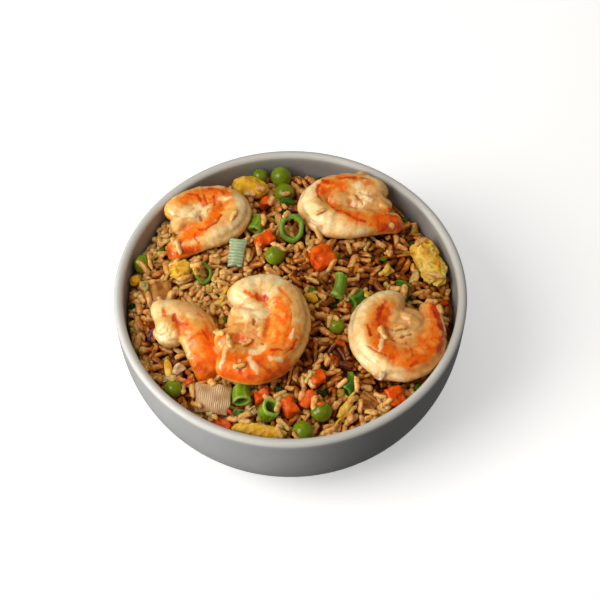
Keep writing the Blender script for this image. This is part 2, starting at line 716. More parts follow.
def body_skin(name):
    """(points, triangles) of the curled body before its flesh is joined to it."""
    across, upright, hind, curl = SHRIMPS[name]
    line, outward, _ = centreline(curl)
    widest = (1 + INWARD_FILL) * across
    outer = evened([free_reach(line, i, d, widest) for i, d in enumerate(outward)])
    inner = evened([free_reach(line, i, -d, widest) for i, d in enumerate(outward)])
    steps = np.arange(CENTRELINE_STEPS + 1) / CENTRELINE_STEPS
    even = np.linspace(0, 1, BODY_RINGS + 2)[1:-1]
    u = (1 - np.cos(math.pi * even)) / 4 + even / 2
    around = np.linspace(0, 2 * math.pi, BODY_AROUND, endpoint=False)

    def at(values):
        return np.interp(u, steps, values)

    centre = np.stack([at(line[:, k]) for k in range(3)], axis=1)
    side = np.stack([at(outward[:, k]) for k in range(3)], axis=1)
    size = body_size(u, hind)
    reach_out = np.minimum(across * size, np.maximum(at(outer) - FLESH_GAP, 0))[:, None]
    reach_in = np.minimum(across * size * (1 + INWARD_FILL), np.maximum(at(inner) - FLESH_GAP, 0))[:, None]
    cosine, sine = np.cos(around)[None, :], np.sin(around)[None, :]
    slit = np.exp(-(((around - SLIT_SIDE) / SLIT_WIDTH) ** 2))[None, :]
    open_part = np.minimum(1.0, 2 * np.maximum(0.0, 1 - np.abs(u - SLIT_MIDDLE) / SLIT_REACH))[:, None]
    share = 1 - SLIT_DEPTH * slit * open_part + segment_step(u)[:, None] * (0.5 + 0.5 * sine)
    wide = np.where(cosine > 0, reach_out, reach_in) * share * cosine
    rings = centre[:, None, :] + side[:, None, :] * wide[:, :, None]
    rings[:, :, 2] += upright * size[:, None] * share * sine
    points = np.concatenate([line[:1], rings.reshape(-1, 3), line[-1:]])
    return points, capped_rings(BODY_RINGS, BODY_AROUND)


def lobes_of(name):
    """The balls of opened flesh and the lumps on them, each (points, triangles)."""
    over = np.array((*SHRIMPS[name][3].middle, 0.0))
    rim = np.array((0.0, 0.0, BOWL_HEIGHT))
    found = [ball((over + m) * MM + rim, np.array(half) * MM) for m, half in FLESH[name]]
    for m, half, turn in LUMPS[name]:
        found.append(ball((over + m) * MM + rim, np.array(half) * MM, math.radians(turn), 20, 12))
    return found


# Lumps of torn flesh on the opened side: middle as in FLESH, half sizes in mm, and turn in degrees
LUMPS = {
    "shrimp_back_left": (
        ((-8, -4, 1.4), (5.6, 2.2, 2.6), 40), ((-4, -1, 2.0), (5.4, 1.9, 2.4), 55),
        ((-11, 0, 0.4), (4.2, 2.2, 2.6), 75), ((0, 3, 2.2), (4.6, 1.6, 2.0), 30),
    ),
    "shrimp_back_right": (
        ((8, 1, 2.6), (5.6, 1.9, 2.2), -25), ((2, 2, 3.0), (5.0, 1.8, 2.2), 15),
        ((14, -1, 1.6), (4.4, 1.8, 2.2), -35), ((10, 4, 1.8), (5.2, 1.7, 2.2), -5),
    ),
    "shrimp_right": (
        ((-3, 5, 1.9), (6.5, 3.2, 2.6), 50), ((4, 5, 2.0), (6.0, 2.6, 2.6), -35),
        ((2, 0, 1.6), (6.4, 2.0, 2.0), -10),
    ),
    "shrimp_front": (
        ((-11.5, -5, 1.2), (6.6, 5.6, 5.2), 20), ((-5, 5, 4.4), (7.0, 3.6, 3.0), -30),
        ((-1, 9, 5.0), (6.6, 3.2, 3.0), 5), ((2, -1, 4.6), (3.2, 6.8, 3.0), -8),
        ((-8, -2, 4.4), (5.4, 2.6, 2.6), 14),
    ),
    "shrimp_left": (
        ((2, 9, -2.4), (6.4, 4.8, 4.6), 0), ((1, 6, -2.6), (6.6, 4.4, 4.2), 0),
        ((3, 5.5, 0.2), (5.6, 3.6, 3.4), -20), ((1.5, 8, 0.6), (6.0, 5.4, 4.0), 0),
    ),
}
# What is painted on each shrimp, in order: kind, half width and relief in mm, strength, and a line
# along the body. Each point of it is a share of the way from head to tail, and a share of the
# body's half thickness outward from its middle line, less than -1 being on the opened flesh.
MARKS = {
    "shrimp_back_left": (
        ("cream", 3.4, 0.05, 0.8, ((0.38, 0.8), (0.50, 0.7), (0.62, 0.6), (0.74, 0.5), (0.82, 0.4))),
        ("peach", 1.6, 0.0, 0.5, ((0.42, 0.1), (0.52, 0.1), (0.60, 0.2))),
        ("orange", 4.2, 0.0, 0.95, ((0.12, 0.1), (0.22, -0.1), (0.30, 0.0), (0.38, 0.0))),
        ("orange", 3.0, 0.0, 0.85, ((0.24, -0.6), (0.33, -0.6), (0.42, -0.4))),
        ("cream", 3.2, 0.2, 0.95, ((0.04, -0.6), (0.10, -0.7), (0.16, -0.8))),
        ("cream", 2.6, 0.2, 0.9, ((0.04, -1.3), (0.14, -1.3), (0.22, -1.0))),
        ("cream", 1.0, 0.3, 0.9, ((0.22, -0.9), (0.30, -0.8), (0.36, -0.6))),
        ("cream", 0.7, 0.25, 0.8, ((0.36, -0.3), (0.41, -0.1), (0.43, 0.3))),
        ("orange", 3.0, 0.0, 1.0, ((0.54, -0.8), (0.62, -0.6), (0.70, -0.4), (0.76, -0.3))),
        ("orange", 4.6, 0.0, 1.0, ((0.80, -0.2), (0.88, 0.0), (0.97, 0.2))),
        ("orange", 1.6, 0.0, 0.8, ((0.80, 0.9), (0.88, 0.9), (0.97, 0.8))),
        ("peach", 1.1, 0.15, 0.85, ((0.86, 0.2), (0.92, 0.3), (0.96, 0.2))),
        ("red", 0.6, -0.15, 0.9, ((0.16, 0.3), (0.20, 0.0), (0.21, -0.4))),
        ("red", 0.6, -0.15, 0.8, ((0.28, 0.4), (0.33, 0.3), (0.37, 0.1))),
        ("red", 0.5, -0.15, 0.8, ((0.25, -0.1), (0.26, -0.6))),
        ("red", 0.5, -0.15, 0.8, ((0.31, -0.2), (0.32, -0.7))),
        ("red", 0.7, -0.15, 0.9, ((0.58, -0.4), (0.65, -0.1), (0.72, 0.0), (0.77, -0.2))),
        ("red", 0.5, -0.2, 0.9, ((0.80, 0.7), (0.81, 0.2), (0.79, -0.1))),
        ("red", 0.9, 0.0, 0.7, ((0.84, 0.9), (0.91, 0.8), (0.97, 0.5), (0.99, 0.0))),
        ("brown", 0.6, -0.3, 0.8, ((0.14, -1.5), (0.16, -1.2))),
        ("brown", 0.4, -0.3, 0.7, ((0.24, -1.1), (0.26, -1.0))),
    ),
    "shrimp_back_right": (
        ("cream", 4.2, 0.05, 1.0, ((0.36, 0.8), (0.46, 0.6), (0.56, 0.5), (0.66, 0.5), (0.74, 0.6))),
        ("orange", 3.4, 0.0, 1.0, ((0.38, -0.3), (0.31, 0.0), (0.26, -0.2))),
        ("orange", 1.8, 0.0, 0.9, ((0.26, 0.3), (0.20, 0.2), (0.16, 0.1))),
        ("orange", 2.4, 0.0, 1.0, ((0.50, -0.7), (0.58, -0.6), (0.66, -0.3))),
        ("peach", 2.0, 0.1, 0.8, ((0.35, 0.8), (0.31, 0.6), (0.28, 0.7))),
        ("cream", 2.4, 0.3, 0.9, ((0.16, -0.3), (0.13, -0.6), (0.08, -0.7))),
        ("cream", 1.6, 0.3, 0.8, ((0.08, -1.4), (0.04, -1.1), (0.01, -0.8))),
        ("orange", 1.4, -0.1, 0.6, ((0.11, 0.0), (0.08, 0.2))),
        ("orange", 3.4, 0.0, 1.0, ((0.70, 0.0), (0.78, 0.1), (0.84, 0.2))),
        ("orange", 4.8, 0.0, 1.0, ((0.84, 0.3), (0.92, 0.3), (0.99, 0.3))),
        ("peach", 0.6, 0.15, 0.8, ((0.36, -0.6), (0.32, -0.5), (0.28, -0.5))),
        ("peach", 0.5, 0.15, 0.8, ((0.34, -0.1), (0.30, -0.2))),
        ("red", 1.1, -0.1, 1.0, ((0.33, 0.4), (0.32, 0.1))),
        ("red", 1.0, -0.1, 0.9, ((0.24, 0.2), (0.18, 0.2))),
        ("red", 0.7, -0.25, 1.0, ((0.37, 0.3), (0.41, 0.0), (0.45, -0.2), (0.50, -0.4))),
        ("red", 0.6, -0.2, 0.9, ((0.55, -0.5), (0.60, -0.3), (0.63, -0.4))),
        ("red", 0.7, -0.2, 0.9, ((0.66, -0.3), (0.71, 0.1), (0.77, 0.4))),
        ("red", 1.6, 0.0, 0.7, ((0.84, 0.7), (0.90, 0.8), (0.97, 0.7))),
        ("red", 1.0, 0.0, 0.7, ((0.90, -0.3), (0.96, -0.2))),
        ("brown", 0.5, -0.3, 0.8, ((0.14, 0.3), (0.10, 0.3))),
        ("brown", 0.5, -0.3, 0.7, ((0.06, -1.2), (0.10, -1.1), (0.15, -0.9))),
        ("brown", 0.9, 0.0, 0.5, ((0.50, 0.9), (0.57, 0.9))),
        ("cream", 0.9, 0.3, 1.0, ((0.915, 0.7), (0.92, 0.7))),
    ),
    "shrimp_right": (
        ("orange", 4.4, 0.0, 1.0, ((0.13, -0.6), (0.24, -0.5), (0.34, -0.3), (0.44, -0.1))),
        ("orange", 5.4, 0.0, 1.0, ((0.42, -0.2), (0.54, 0.1), (0.64, 0.1), (0.74, 0.1))),
        ("orange", 3.0, 0.0, 1.0, ((0.56, 0.5), (0.64, 0.5), (0.72, 0.4))),
        ("orange", 2.6, 0.0, 0.9, ((0.74, 0.3), (0.86, 0.2), (0.96, 0.2))),
        ("cream", 3.2, 0.15, 0.7, ((0.08, 0.6), (0.18, 0.6), (0.28, 0.6), (0.38, 0.7), (0.48, 0.8))),
        ("cream", 2.0, 0.1, 0.7, ((0.48, 0.9), (0.56, 0.95))),
        ("peach", 1.8, 0.0, 0.6, ((0.56, 0.95), (0.66, 0.9), (0.74, 0.8))),
        ("peach", 1.4, 0.1, 0.6, ((0.12, 0.1), (0.20, 0.05), (0.30, 0.1), (0.36, 0.2))),
        ("flesh", 4.0, 0.3, 1.0, ((0.04, -0.9), (0.00, -1.4))),
        ("flesh", 3.6, 0.3, 0.9, ((0.90, -1.0), (0.82, -1.2))),
        ("orange", 1.4, 0.0, 0.4, ((0.92, -0.6), (0.86, -0.5))),
        ("peach", 1.8, 0.15, 0.5, ((0.52, -0.5), (0.54, 0.0))),
        ("peach", 1.4, 0.15, 0.5, ((0.63, -0.3), (0.64, 0.2))),
        ("cream", 1.0, 0.4, 0.9, ((0.38, -0.6), (0.42, -0.1), (0.43, 0.1))),
        ("red", 1.2, -0.2, 0.95, ((0.11, -0.1), (0.17, -0.3), (0.23, -0.5))),
        ("red", 0.8, -0.2, 0.9, ((0.23, -0.5), (0.28, -0.6), (0.32, -0.8))),
        ("red", 0.7, -0.25, 1.0, ((0.29, 0.0), (0.34, 0.0))),
        ("brown", 0.5, -0.25, 0.8, ((0.38, 0.4), (0.42, 0.3), (0.47, 0.2))),
        ("red", 0.6, -0.2, 0.8, ((0.40, -0.7), (0.46, -0.9))),
        ("red", 0.7, -0.2, 0.8, ((0.57, 0.6), (0.60, 0.5))),
        ("red", 0.5, -0.15, 0.7, ((0.59, -0.9), (0.60, -0.4), (0.59, 0.1))),
        ("red", 1.6, -0.05, 1.0, ((0.98, 0.0), (0.92, 0.3), (0.86, 0.5), (0.80, 0.6))),
        ("red", 1.4, -0.05, 0.8, ((0.78, 0.7), (0.70, 0.7))),
        ("brown", 0.6, -0.4, 0.9, ((0.54, -1.2), (0.62, -1.3), (0.70, -1.2))),
    ),
    "shrimp_front": (
        ("cream", 5.0, 0.0, 0.9, ((0.00, 0.2), (0.08, 0.2), (0.16, 0.3), (0.24, 0.4))),
        ("cream", 4.2, 0.1, 0.95, ((0.00, -0.8), (0.06, -1.1), (0.02, -1.6))),
        ("cream", 3.0, 0.1, 0.85, ((0.20, 0.0), (0.25, -0.1), (0.28, -0.4))),
        ("peach", 1.8, 0.0, 0.7, ((0.10, -0.7), (0.16, -0.9), (0.24, -0.9), (0.30, -0.8))),
        ("flesh", 3.0, 0.1, 0.9, ((0.30, 0.7), (0.40, 0.6), (0.50, 0.7), (0.60, 0.8))),
        ("orange", 2.6, 0.0, 0.9, ((0.34, -1.0), (0.44, -0.9), (0.54, -0.9), (0.64, -0.8))),
        ("orange", 3.6, 0.0, 1.0, ((0.37, -0.4), (0.46, -0.3), (0.55, -0.2), (0.64, -0.1))),
        ("orange", 3.4, 0.0, 0.95, ((0.54, 0.3), (0.62, 0.4), (0.70, 0.4))),
        ("orange", 6.4, 0.0, 1.0, ((0.74, 0.3), (0.84, 0.3), (0.92, 0.3), (1.0, 0.3))),
        ("orange", 2.6, 0.0, 0.9, ((0.68, 0.9), (0.78, 1.0), (0.90, 1.0), (1.0, 1.0))),
        ("orange", 2.8, 0.0, 0.9, ((1.0, -1.2), (0.93, -1.3), (0.86, -1.3))),
        ("peach", 3.6, 0.0, 0.8, ((0.99, -2.0), (0.92, -2.1), (0.88, -1.9))),
        ("cream", 1.4, 0.2, 0.6, ((0.88, -2.5), (0.94, -2.5))),
        ("orange", 0.9, -0.1, 0.7, ((0.84, -1.5), (0.86, -1.9))),
        ("cream", 3.2, 0.3, 1.0, ((0.10, -1.4), (0.22, -1.5), (0.34, -1.6), (0.40, -1.9))),
        ("flesh", 2.4, 0.1, 0.7, ((0.74, -1.6), (0.80, -1.8), (0.82, -2.4))),
        ("peach", 1.2, 0.1, 0.7, ((0.42, -0.6), (0.46, -0.3))),
        ("peach", 1.2, 0.1, 0.6, ((0.52, -0.5), (0.56, -0.2))),
        ("cream", 1.8, 0.25, 0.9, ((0.72, -0.5), (0.76, -0.4), (0.80, -0.5))),
        ("cream", 1.2, 0.2, 0.75, ((0.69, 0.6), (0.72, 0.3))),
        ("cream", 1.0, 0.2, 0.75, ((0.79, 0.7), (0.80, 0.3), (0.82, 0.0))),
        ("cream", 0.9, 0.2, 0.75, ((0.865, 0.6), (0.87, 0.2))),
        ("cream", 1.1, 0.2, 0.8, ((0.955, -0.6), (0.955, 0.0), (0.96, 0.5))),
        ("peach", 1.3, 0.2, 0.9, ((0.62, 0.4), (0.655, 0.35))),
        ("cream", 0.9, 0.25, 1.0, ((0.53, 0.3), (0.58, 0.36))),
        ("red", 1.2, -0.15, 1.0, ((0.12, -0.5), (0.15, -0.8), (0.20, -0.7))),
        ("red", 1.0, -0.15, 1.0, ((0.20, -0.8), (0.26, -0.7))),
        ("orange", 0.9, -0.1, 0.9, ((0.07, -0.1), (0.085, -0.5))),
        ("orange", 0.8, -0.15, 0.8, ((0.28, 0.0), (0.33, 0.05), (0.38, 0.15))),
        ("red", 0.4, -0.15, 0.8, ((0.42, 0.05), (0.47, 0.1), (0.51, 0.1))),
        ("red", 0.5, -0.15, 0.9, ((0.57, 0.6), (0.61, 0.62), (0.64, 0.55))),
        ("red", 0.6, -0.15, 1.0, ((0.655, 0.35), (0.67, 0.15), (0.69, 0.0))),
        ("red", 0.5, -0.15, 0.9, ((0.705, -0.9), (0.70, -0.6))),
        ("red", 0.9, -0.05, 0.6, ((0.74, 0.8), (0.77, 0.5), (0.775, 0.2))),
        ("red", 0.8, -0.05, 0.6, ((0.85, 0.8), (0.87, 0.5), (0.885, 0.1))),
        ("red", 0.5, -0.1, 0.9, ((0.90, -0.4), (0.91, -0.1))),
        ("red", 0.7, 0.0, 0.5, ((0.66, 1.0), (0.76, 1.0), (0.86, 1.0), (0.94, 0.95))),
        ("brown", 0.8, -0.5, 1.0, ((0.845, -2.2), (0.855, -2.4))),
    ),
    "shrimp_left": (
        ("cream", 3.8, 0.05, 0.75, ((0.02, 0.1), (0.10, 0.1), (0.18, 0.0))),
        ("cream", 3.2, 0.25, 0.6, ((0.04, -1.2), (0.14, -1.3), (0.26, -1.5), (0.34, -1.3))),
        ("flesh", 2.8, 0.1, 0.9, ((0.20, 0.5), (0.30, 0.4), (0.40, 0.3))),
        ("peach", 1.6, 0.1, 0.7, ((0.20, -0.8), (0.28, -0.9), (0.38, -0.9))),
        ("orange", 3.8, 0.0, 1.0, ((0.46, -0.6), (0.58, -0.5), (0.68, -0.4), (0.78, -0.3))),
        ("orange", 6.2, 0.0, 1.0, ((0.66, 0.3), (0.80, 0.2), (0.98, 0.0))),
        ("orange", 3.0, 0.0, 0.9, ((0.80, -0.9), (0.90, -0.9), (1.0, -0.9))),
        ("peach", 2.8, 0.0, 0.85, ((0.46, 0.8), (0.54, 0.8), (0.60, 0.8))),
        ("cream", 1.5, 0.2, 0.6, ((0.38, 0.0), (0.43, 0.0))),
        ("peach", 1.1, 0.2, 0.9, ((0.52, -0.6), (0.55, -0.5))),
        ("peach", 1.2, 0.15, 0.8, ((0.56, -1.0), (0.62, -0.9))),
        ("cream", 1.2, 0.2, 0.7, ((0.79, 0.4), (0.86, 0.45), (0.92, 0.5))),
        ("orange", 0.8, -0.1, 0.9, ((0.115, 0.0), (0.13, -0.5))),
        ("red", 1.0, -0.15, 1.0, ((0.24, -0.4), (0.28, -0.6), (0.33, -0.6))),
        ("red", 0.9, -0.15, 1.0, ((0.33, -0.6), (0.39, -0.6))),
        ("red", 0.5, -0.15, 0.9, ((0.59, 0.1), (0.64, 0.15), (0.69, 0.2))),
        ("red", 0.9, -0.1, 0.4, ((0.84, -0.8), (0.92, -0.7), (0.98, -0.4))),
        ("orange", 0.7, -0.15, 0.9, ((0.42, 0.4), (0.47, 0.5))),
        ("brown", 0.4, -0.2, 0.8, ((0.44, -0.4), (0.455, -0.5))),
    ),
}

# How golden each shrimp's steep sides are
GOLDEN = {
    "shrimp_back_left": 0.9, "shrimp_back_right": 0.6, "shrimp_right": 0.25,
    "shrimp_front": 1.0, "shrimp_left": 0.6,
}
# The skin's unevenness, that of the torn flesh on the opened side, and the marks' edges
FIBRE_RELIEF = 0.00020
COARSE_RELIEF = 0.00022
RAGGED_RELIEF = 0.00008
TORN_RELIEF = 0.00028
FIBRE_SPACING = 0.0022
COARSE_SKIN_SPACING = 0.0035
RAGGED_SPACING = 0.0012
TORN_SPACING = 0.0030
STREAK_SPACING = 0.0011
BROAD_MARK = 1.5  # marks wider than this, in mm, have streaks and a golden edge where orange
MARK_FADE = (0.45, 1.20)  # a mark fades out between these shares of its half width


def near_line(points, line):
    """Distance of points from a drawn line, seen from above."""
    best = np.full(len(points), 1e9)
    for a, b in zip(line, line[1:]):
        ab = b - a
        t = np.clip(((points[:, :2] - a) @ ab) / max(ab @ ab, 1e-12), 0, 1)
        best = np.minimum(best, np.linalg.norm(points[:, :2] - a - t[:, None] * ab, axis=1))
    return best


def hollowness(points, triangles, normals, rounds):
    """How far each point lies below the skin averaged round it, in metres; below 0 on a ridge."""
    a, b = triangles.ravel(), np.roll(triangles, -1, axis=1).ravel()
    neighbours = np.maximum(np.bincount(a, minlength=len(points)), 1)[:, None]
    average = points
    for _ in range(rounds):
        summed = [np.bincount(a, average[b, k], len(points)) for k in range(3)]
        average = np.stack(summed, axis=1) / neighbours
    return ((average - points) * normals).sum(axis=1)


def along_body(points, line, outward, length):
    """(share of the way from head to tail, distance outward) of points, both from the centreline."""
    nearest = np.linalg.norm(points[:, None, :2] - line[None, :, :2], axis=2).argmin(axis=1)
    ahead = np.stack([-outward[:, 1], outward[:, 0]], axis=1)
    ahead *= np.sign(((line[-1] - line[-2])[:2] * ahead[-1]).sum())
    from_line = points - line[nearest]
    past = (from_line[:, :2] * ahead[nearest]).sum(axis=1) / (length / CENTRELINE_STEPS)
    u = (nearest + np.clip(past, -0.5, 0.5)) / CENTRELINE_STEPS
    return u, (from_line * outward[nearest]).sum(axis=1)


def build_shrimp(name, material):
    """A shrimp's skin, with its marks painted on and standing out, and darker in its hollows."""
    points, triangles, normals = reskinned([body_skin(name), *lobes_of(name)], SKIN_VOXEL, SKIN_SMOOTHING)
    across, _, hind, curl = SHRIMPS[name]
    line, outward, length = centreline(curl)
    u, side = along_body(points, line, outward, length)
    side = side / across
    weights = {key: np.zeros(len(points)) for key in PAINTS}
    weights["flesh"][:] = 1.0

    def on_body(share, outside):
        i = round(share * CENTRELINE_STEPS)
        return (line[i] + outward[i] * outside * across * narrowed(share, hind))[:2] / MM

    def paint(kind, share):
        share = np.clip(share, 0, 1)
        for key in PAINTS:
            weights[key] *= 1 - share
        weights[kind] += share

    ragged = noise_at(points, RAGGED_SPACING, 3.0)
    coarse = noise_at(points, COARSE_SKIN_SPACING, 9.0)
    body = np.stack([u * length, side * 0.0022, points[:, 2] * 0.3], axis=1)
    fibre = noise_at(body, FIBRE_SPACING, 5.0)
    streak = noise_at(body, STREAK_SPACING, 2.0)
    facing_up = smooth_step(-0.25, 0.15, normals[:, 2])
    opened = smooth_step(0.80, 1.20, -side)
    torn = 0.6 - 2 * np.abs(noise_at(points * (1.0, 1.5, 1.0), TORN_SPACING, 6.0))
    relief = FIBRE_RELIEF * fibre + COARSE_RELIEF * coarse + RAGGED_RELIEF * ragged
    relief += TORN_RELIEF * torn * opened * facing_up
    paint("cream", (0.95 - 0.6 * GOLDEN[name]) * smooth_step(0.15, 0.75, side + 0.4 * coarse))
    steep = smooth_step(0.90, 0.35, normals[:, 2] + 0.35 * coarse) * smooth_step(0.1, 0.5, side)
    paint("gold", GOLDEN[name] * 0.85 * steep)
    paint("cream", 0.55 * smooth_step(-0.05, 0.35, torn) * opened)
    for kind, half, depth, strength, drawn in MARKS[name]:
        wander = half ** 0.75 * (0.50 * ragged + 0.75 * coarse + 0.25 * streak)
        away = near_line(points / MM, [on_body(*p) for p in drawn]) + wander
        share = (1 - smooth_step(half * MARK_FADE[0], half * MARK_FADE[1], away)) * facing_up
        if half > BROAD_MARK:
            share *= 1 - 0.16 * smooth_step(0.10, 0.50, streak)
            if kind == "orange":
                edge = 1 - smooth_step(half * 0.9, half * 1.3 + 1.6, away)
                paint("gold", 0.65 * strength * edge * facing_up)
        paint(kind, share * strength)
        relief += depth * MM * share
    points = points + normals * relief[:, None]
    hollow = hollowness(points, triangles, normals_of(points, triangles), 5)
    paint("brown", 0.40 * smooth_step(0.00005, 0.00035, hollow) * facing_up)
    paint("orange", 0.35 * smooth_step(0.00000, 0.00016, hollow) * facing_up)
    return add_piece([name], name + "_cooked", points, triangles, material, weights)


# ---------------------------------------------------------------- small toppings


def heap_height(x, y):
    """The height of the heap's surface, as in the part."""
    dome = DOME_RISE * (1 - (x * x + y * y) / INSIDE_RADIUS ** 2) - RICE_LEAN * x / INSIDE_RADIUS
    spot = Vector((x, y, 0.0))
    bumps = COARSE_BUMP * noise.noise(spot / COARSE_SPACING)
    bumps += FINE_BUMP * noise.noise(spot / FINE_SPACING)
    return EDGE_LEVEL + dome + bumps


def slope_of_heap(x, y):
    """The direction that the heap faces, bumps left out."""
    down = 2 * DOME_RISE / INSIDE_RADIUS ** 2
    return Vector((down * x + RICE_LEAN / INSIDE_RADIUS, down * y, 1.0)).normalized()


def tipped_to(normal, *turns):
    """A matrix that turns, the last (degrees, axis) first, and then tips upright over to a direction."""
    matrix = Vector((0.0, 0.0, 1.0)).rotation_difference(normal).to_matrix()
    for degrees, axis in turns:
        matrix = matrix @ Matrix.Rotation(math.radians(degrees), 3, axis)
    return np.array(matrix)


def laid(points, node, turn, tilt):
    """Local points turned and tilted on the heap's slope, with their box's middle on the node's."""
    low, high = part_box(node)
    middle = (low + high) / 2
    placed = points @ tipped_to(slope_of_heap(middle.x, middle.y), (turn, "Z"), (tilt, "X")).T
    return placed + np.array(middle) - (placed.min(axis=0) + placed.max(axis=0)) / 2


WRINKLES = {"pea_wall_left": 0.05}  # of peas that are shrunken, in radii
PEA_SKIN = 0.012
PEA_WAVES = 0.03
PEA_DIMPLE = 0.07
DIMPLE_WIDTH = 0.03
SEAM_WIDTH = 0.05


def build_pea(node):
    """A pea with a seam on one side and a slightly uneven skin."""
    low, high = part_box(node)
    middle, radius = np.array((low + high) / 2), (high.x - low.x) / 2
    points, faces = ball((0, 0, 0), (1, 1, 1), 0.0, 56, 34)
    seed = middle[0] * 900
    lean = Matrix.Rotation(seed, 3, "X") @ Matrix.Rotation(seed * 1.7, 3, "Y")
    facing = points @ np.array(lean @ Vector((0, 0, 1)))
    dimple = np.exp(-((1 - facing) / DIMPLE_WIDTH))
    wrinkled = PEA_SKIN + WRINKLES.get(node, 0.0)
    uneven = noise_at(points, 0.9, seed) * PEA_WAVES + noise_at(points, 0.28, seed) * wrinkled
    size = 1 + uneven - PEA_DIMPLE * dimple - 0.02 * np.abs(facing) ** 4
    points = points * size[:, None] * radius * 0.995 + middle
    masks = {"seam": smooth_step(0.0, 1.0, np.exp(-((1 - facing) / SEAM_WIDTH))) * 0.7}
    return add_piece([node], node + "_cooked", points, faces, LOOKS["pea_skin"], masks)


# name: outer radius, length, flattening, direction and tilt of the tube's axis, as in the part,
# then the wall as a share of the radius, how crooked the tube is, and its green
SCALLIONS = {
    "scallion_ring_back": (0.0062, 0.0038, 0.88, -95, 40, 0.36, 1.6, "dark"),
    "scallion_ring_left": (0.0047, 0.0034, 0.80, -70, 34, 0.30, 1.6, "dark"),
    "scallion_ring_front": (0.0040, 0.0066, 1.00, 20, 28, 0.34, 1.0, "bright"),
    "scallion_back_left": (0.0036, 0.0072, 0.90, 70, 84, 0.50, 1.6, "bright"),
    "scallion_middle": (0.0031, 0.0100, 0.86, 78, 64, 0.60, 1.8, "bright"),
    "scallion_middle_right": (0.0036, 0.0066, 0.84, 35, 76, 0.40, 2.2, "dark"),
    "scallion_right": (0.0037, 0.0068, 0.80, 80, 82, 0.40, 2.0, "dark"),
    "scallion_front_right": (0.0036, 0.0060, 0.84, 55, 74, 0.40, 2.4, "dark"),
    "scallion_front_left": (0.0036, 0.0066, 1.10, -86, 80, 0.34, 1.0, "bright"),
    "scallion_tucked": (0.0028, 0.0050, 0.84, 80, 70, 0.40, 1.4, "dark"),
}


SCALLION_SOFTENED = 0.08  # rounding of the cuts, in radii
SCALLION_WAVES = 0.09
SCALLION_RIDGES = 0.016
SCALLION_SLANT = 0.10
SCALLION_BOW = 0.06
SCALLION_SKIN = 0.00018
SCALLION_AROUND = 72
SCALLION_STEPS = 8  # of each side of the wall, from cut to cut
CORNER_STEPS = 4  # of each cut's rounding


def scallion_outline(radius, wall, length, soft):
    """Up the inside, over the cut, down the outside and over the other cut: (radius, height) for each."""
    outline = []
    for side, up in ((radius - wall, 1), (radius, -1)):
        for k in range(SCALLION_STEPS + 1):
            outline.append((side, up * length / 2 * (-1 + 2 * k / SCALLION_STEPS) * (1 - 2 * soft / length)))
        for k in range(1, CORNER_STEPS):
            share = k / CORNER_STEPS
            outward = share if up > 0 else 1 - share
            outline.append((radius - wall * (1 - outward), up * (length / 2 - soft * 0.12)))
    return np.array(outline)


def build_scallion(node):
    """A cut length of hollow leaf, a little crooked and ridged."""
    radius, length, flat, direction, tilt, wall_share, crooked, tone = SCALLIONS[node]
    wall = wall_share * radius
    soft = SCALLION_SOFTENED * radius
    outline = scallion_outline(radius, wall, length, soft)
    count, around = len(outline), SCALLION_AROUND
    angles = np.linspace(0, 2 * math.pi, around, endpoint=False)
    seed = radius * 9000 + direction
    circle = np.stack([np.cos(angles), np.sin(angles)], axis=1)
    wave, ridge = (np.array([noise.noise((x * s, y * s, seed)) for x, y in circle]) for s in (1.1, 7.0))
    r = outline[:, :1] * (1 + SCALLION_WAVES * crooked * wave[None, :] + SCALLION_RIDGES * ridge[None, :])
    z = outline[:, 1:] * (1 + 0.12 * crooked * wave[None, ::-1])
    z = z + SCALLION_SLANT * crooked * r * np.cos(angles + seed)[None, :]
    sway = SCALLION_BOW * crooked * length * (2 * outline[:, 1:] / length) ** 2
    points = np.stack([r * np.cos(angles) * flat + sway, r * np.sin(angles), z], axis=-1).reshape(-1, 3)
    index = np.arange(count * around).reshape(count, around)
    onward = np.roll(index, -1, axis=0)
    faces = [index, onward, np.roll(onward, -1, axis=1), np.roll(index, -1, axis=1)]
    faces = np.stack(faces, axis=-1).reshape(-1, 4)
    inside = outline[:, 0] < radius - wall * 0.8
    at_cut = np.abs(outline[:, 1]) > length / 2 * (1 - 2 * soft / length) - 1e-9
    masks = {
        "inside": np.repeat(inside.astype(float), around),
        "rim": np.repeat(at_cut.astype(float), around) * 0.8,
        "stripe": np.tile(smooth_step(0.05, 0.4, ridge), count) * 0.40,
    }
    placed = laid(points, node, direction + 90, tilt)
    placed += SCALLION_SKIN * noise_at(placed, 0.0016, seed)[:, None]
    return add_piece([node], node + "_cut", placed, faces, LOOKS["scallion_" + tone], masks)


CARROT_GRAIN = 0.00016
CARROT_CHIPS = 0.00030
CARROT_BITES = 0.0022
SHALLOWEST_BITE = 0.12
CARROT_SMOOTHING = 9


def build_carrot(node):
    """A dice of carrot with softened edges, a grainy cut and bites out of it."""
    plain = shape_of(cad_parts[node])[:2]
    points, triangles, normals = reskinned([plain], TOPPING_VOXEL, CARROT_SMOOTHING)
    middle = points.mean(axis=0)
    grain = noise_at(points * np.array((1.0, 1.0, 2.2)), 0.0009, 4.0)
    chips = noise_at(points, 0.0022, 8.0)
    bites = np.minimum(noise_at(points, 0.0042, middle[0] * 700), SHALLOWEST_BITE)
    out = np.abs((points - middle) / np.maximum(np.abs(points - middle).max(axis=0), 1e-9))
    masks = {
        "edge": smooth_step(0.62, 0.90, np.sort(out, axis=1)[:, 1]) * 0.22,
        "dull": smooth_step(0.1, 0.45, chips) * 0.35,
    }
    points = points + normals * (CARROT_GRAIN * grain + CARROT_CHIPS * chips + CARROT_BITES * bites)[:, None]
    look = LOOKS["diced_carrot"]
    return add_piece([node], node + "_diced", points, triangles, look, masks)


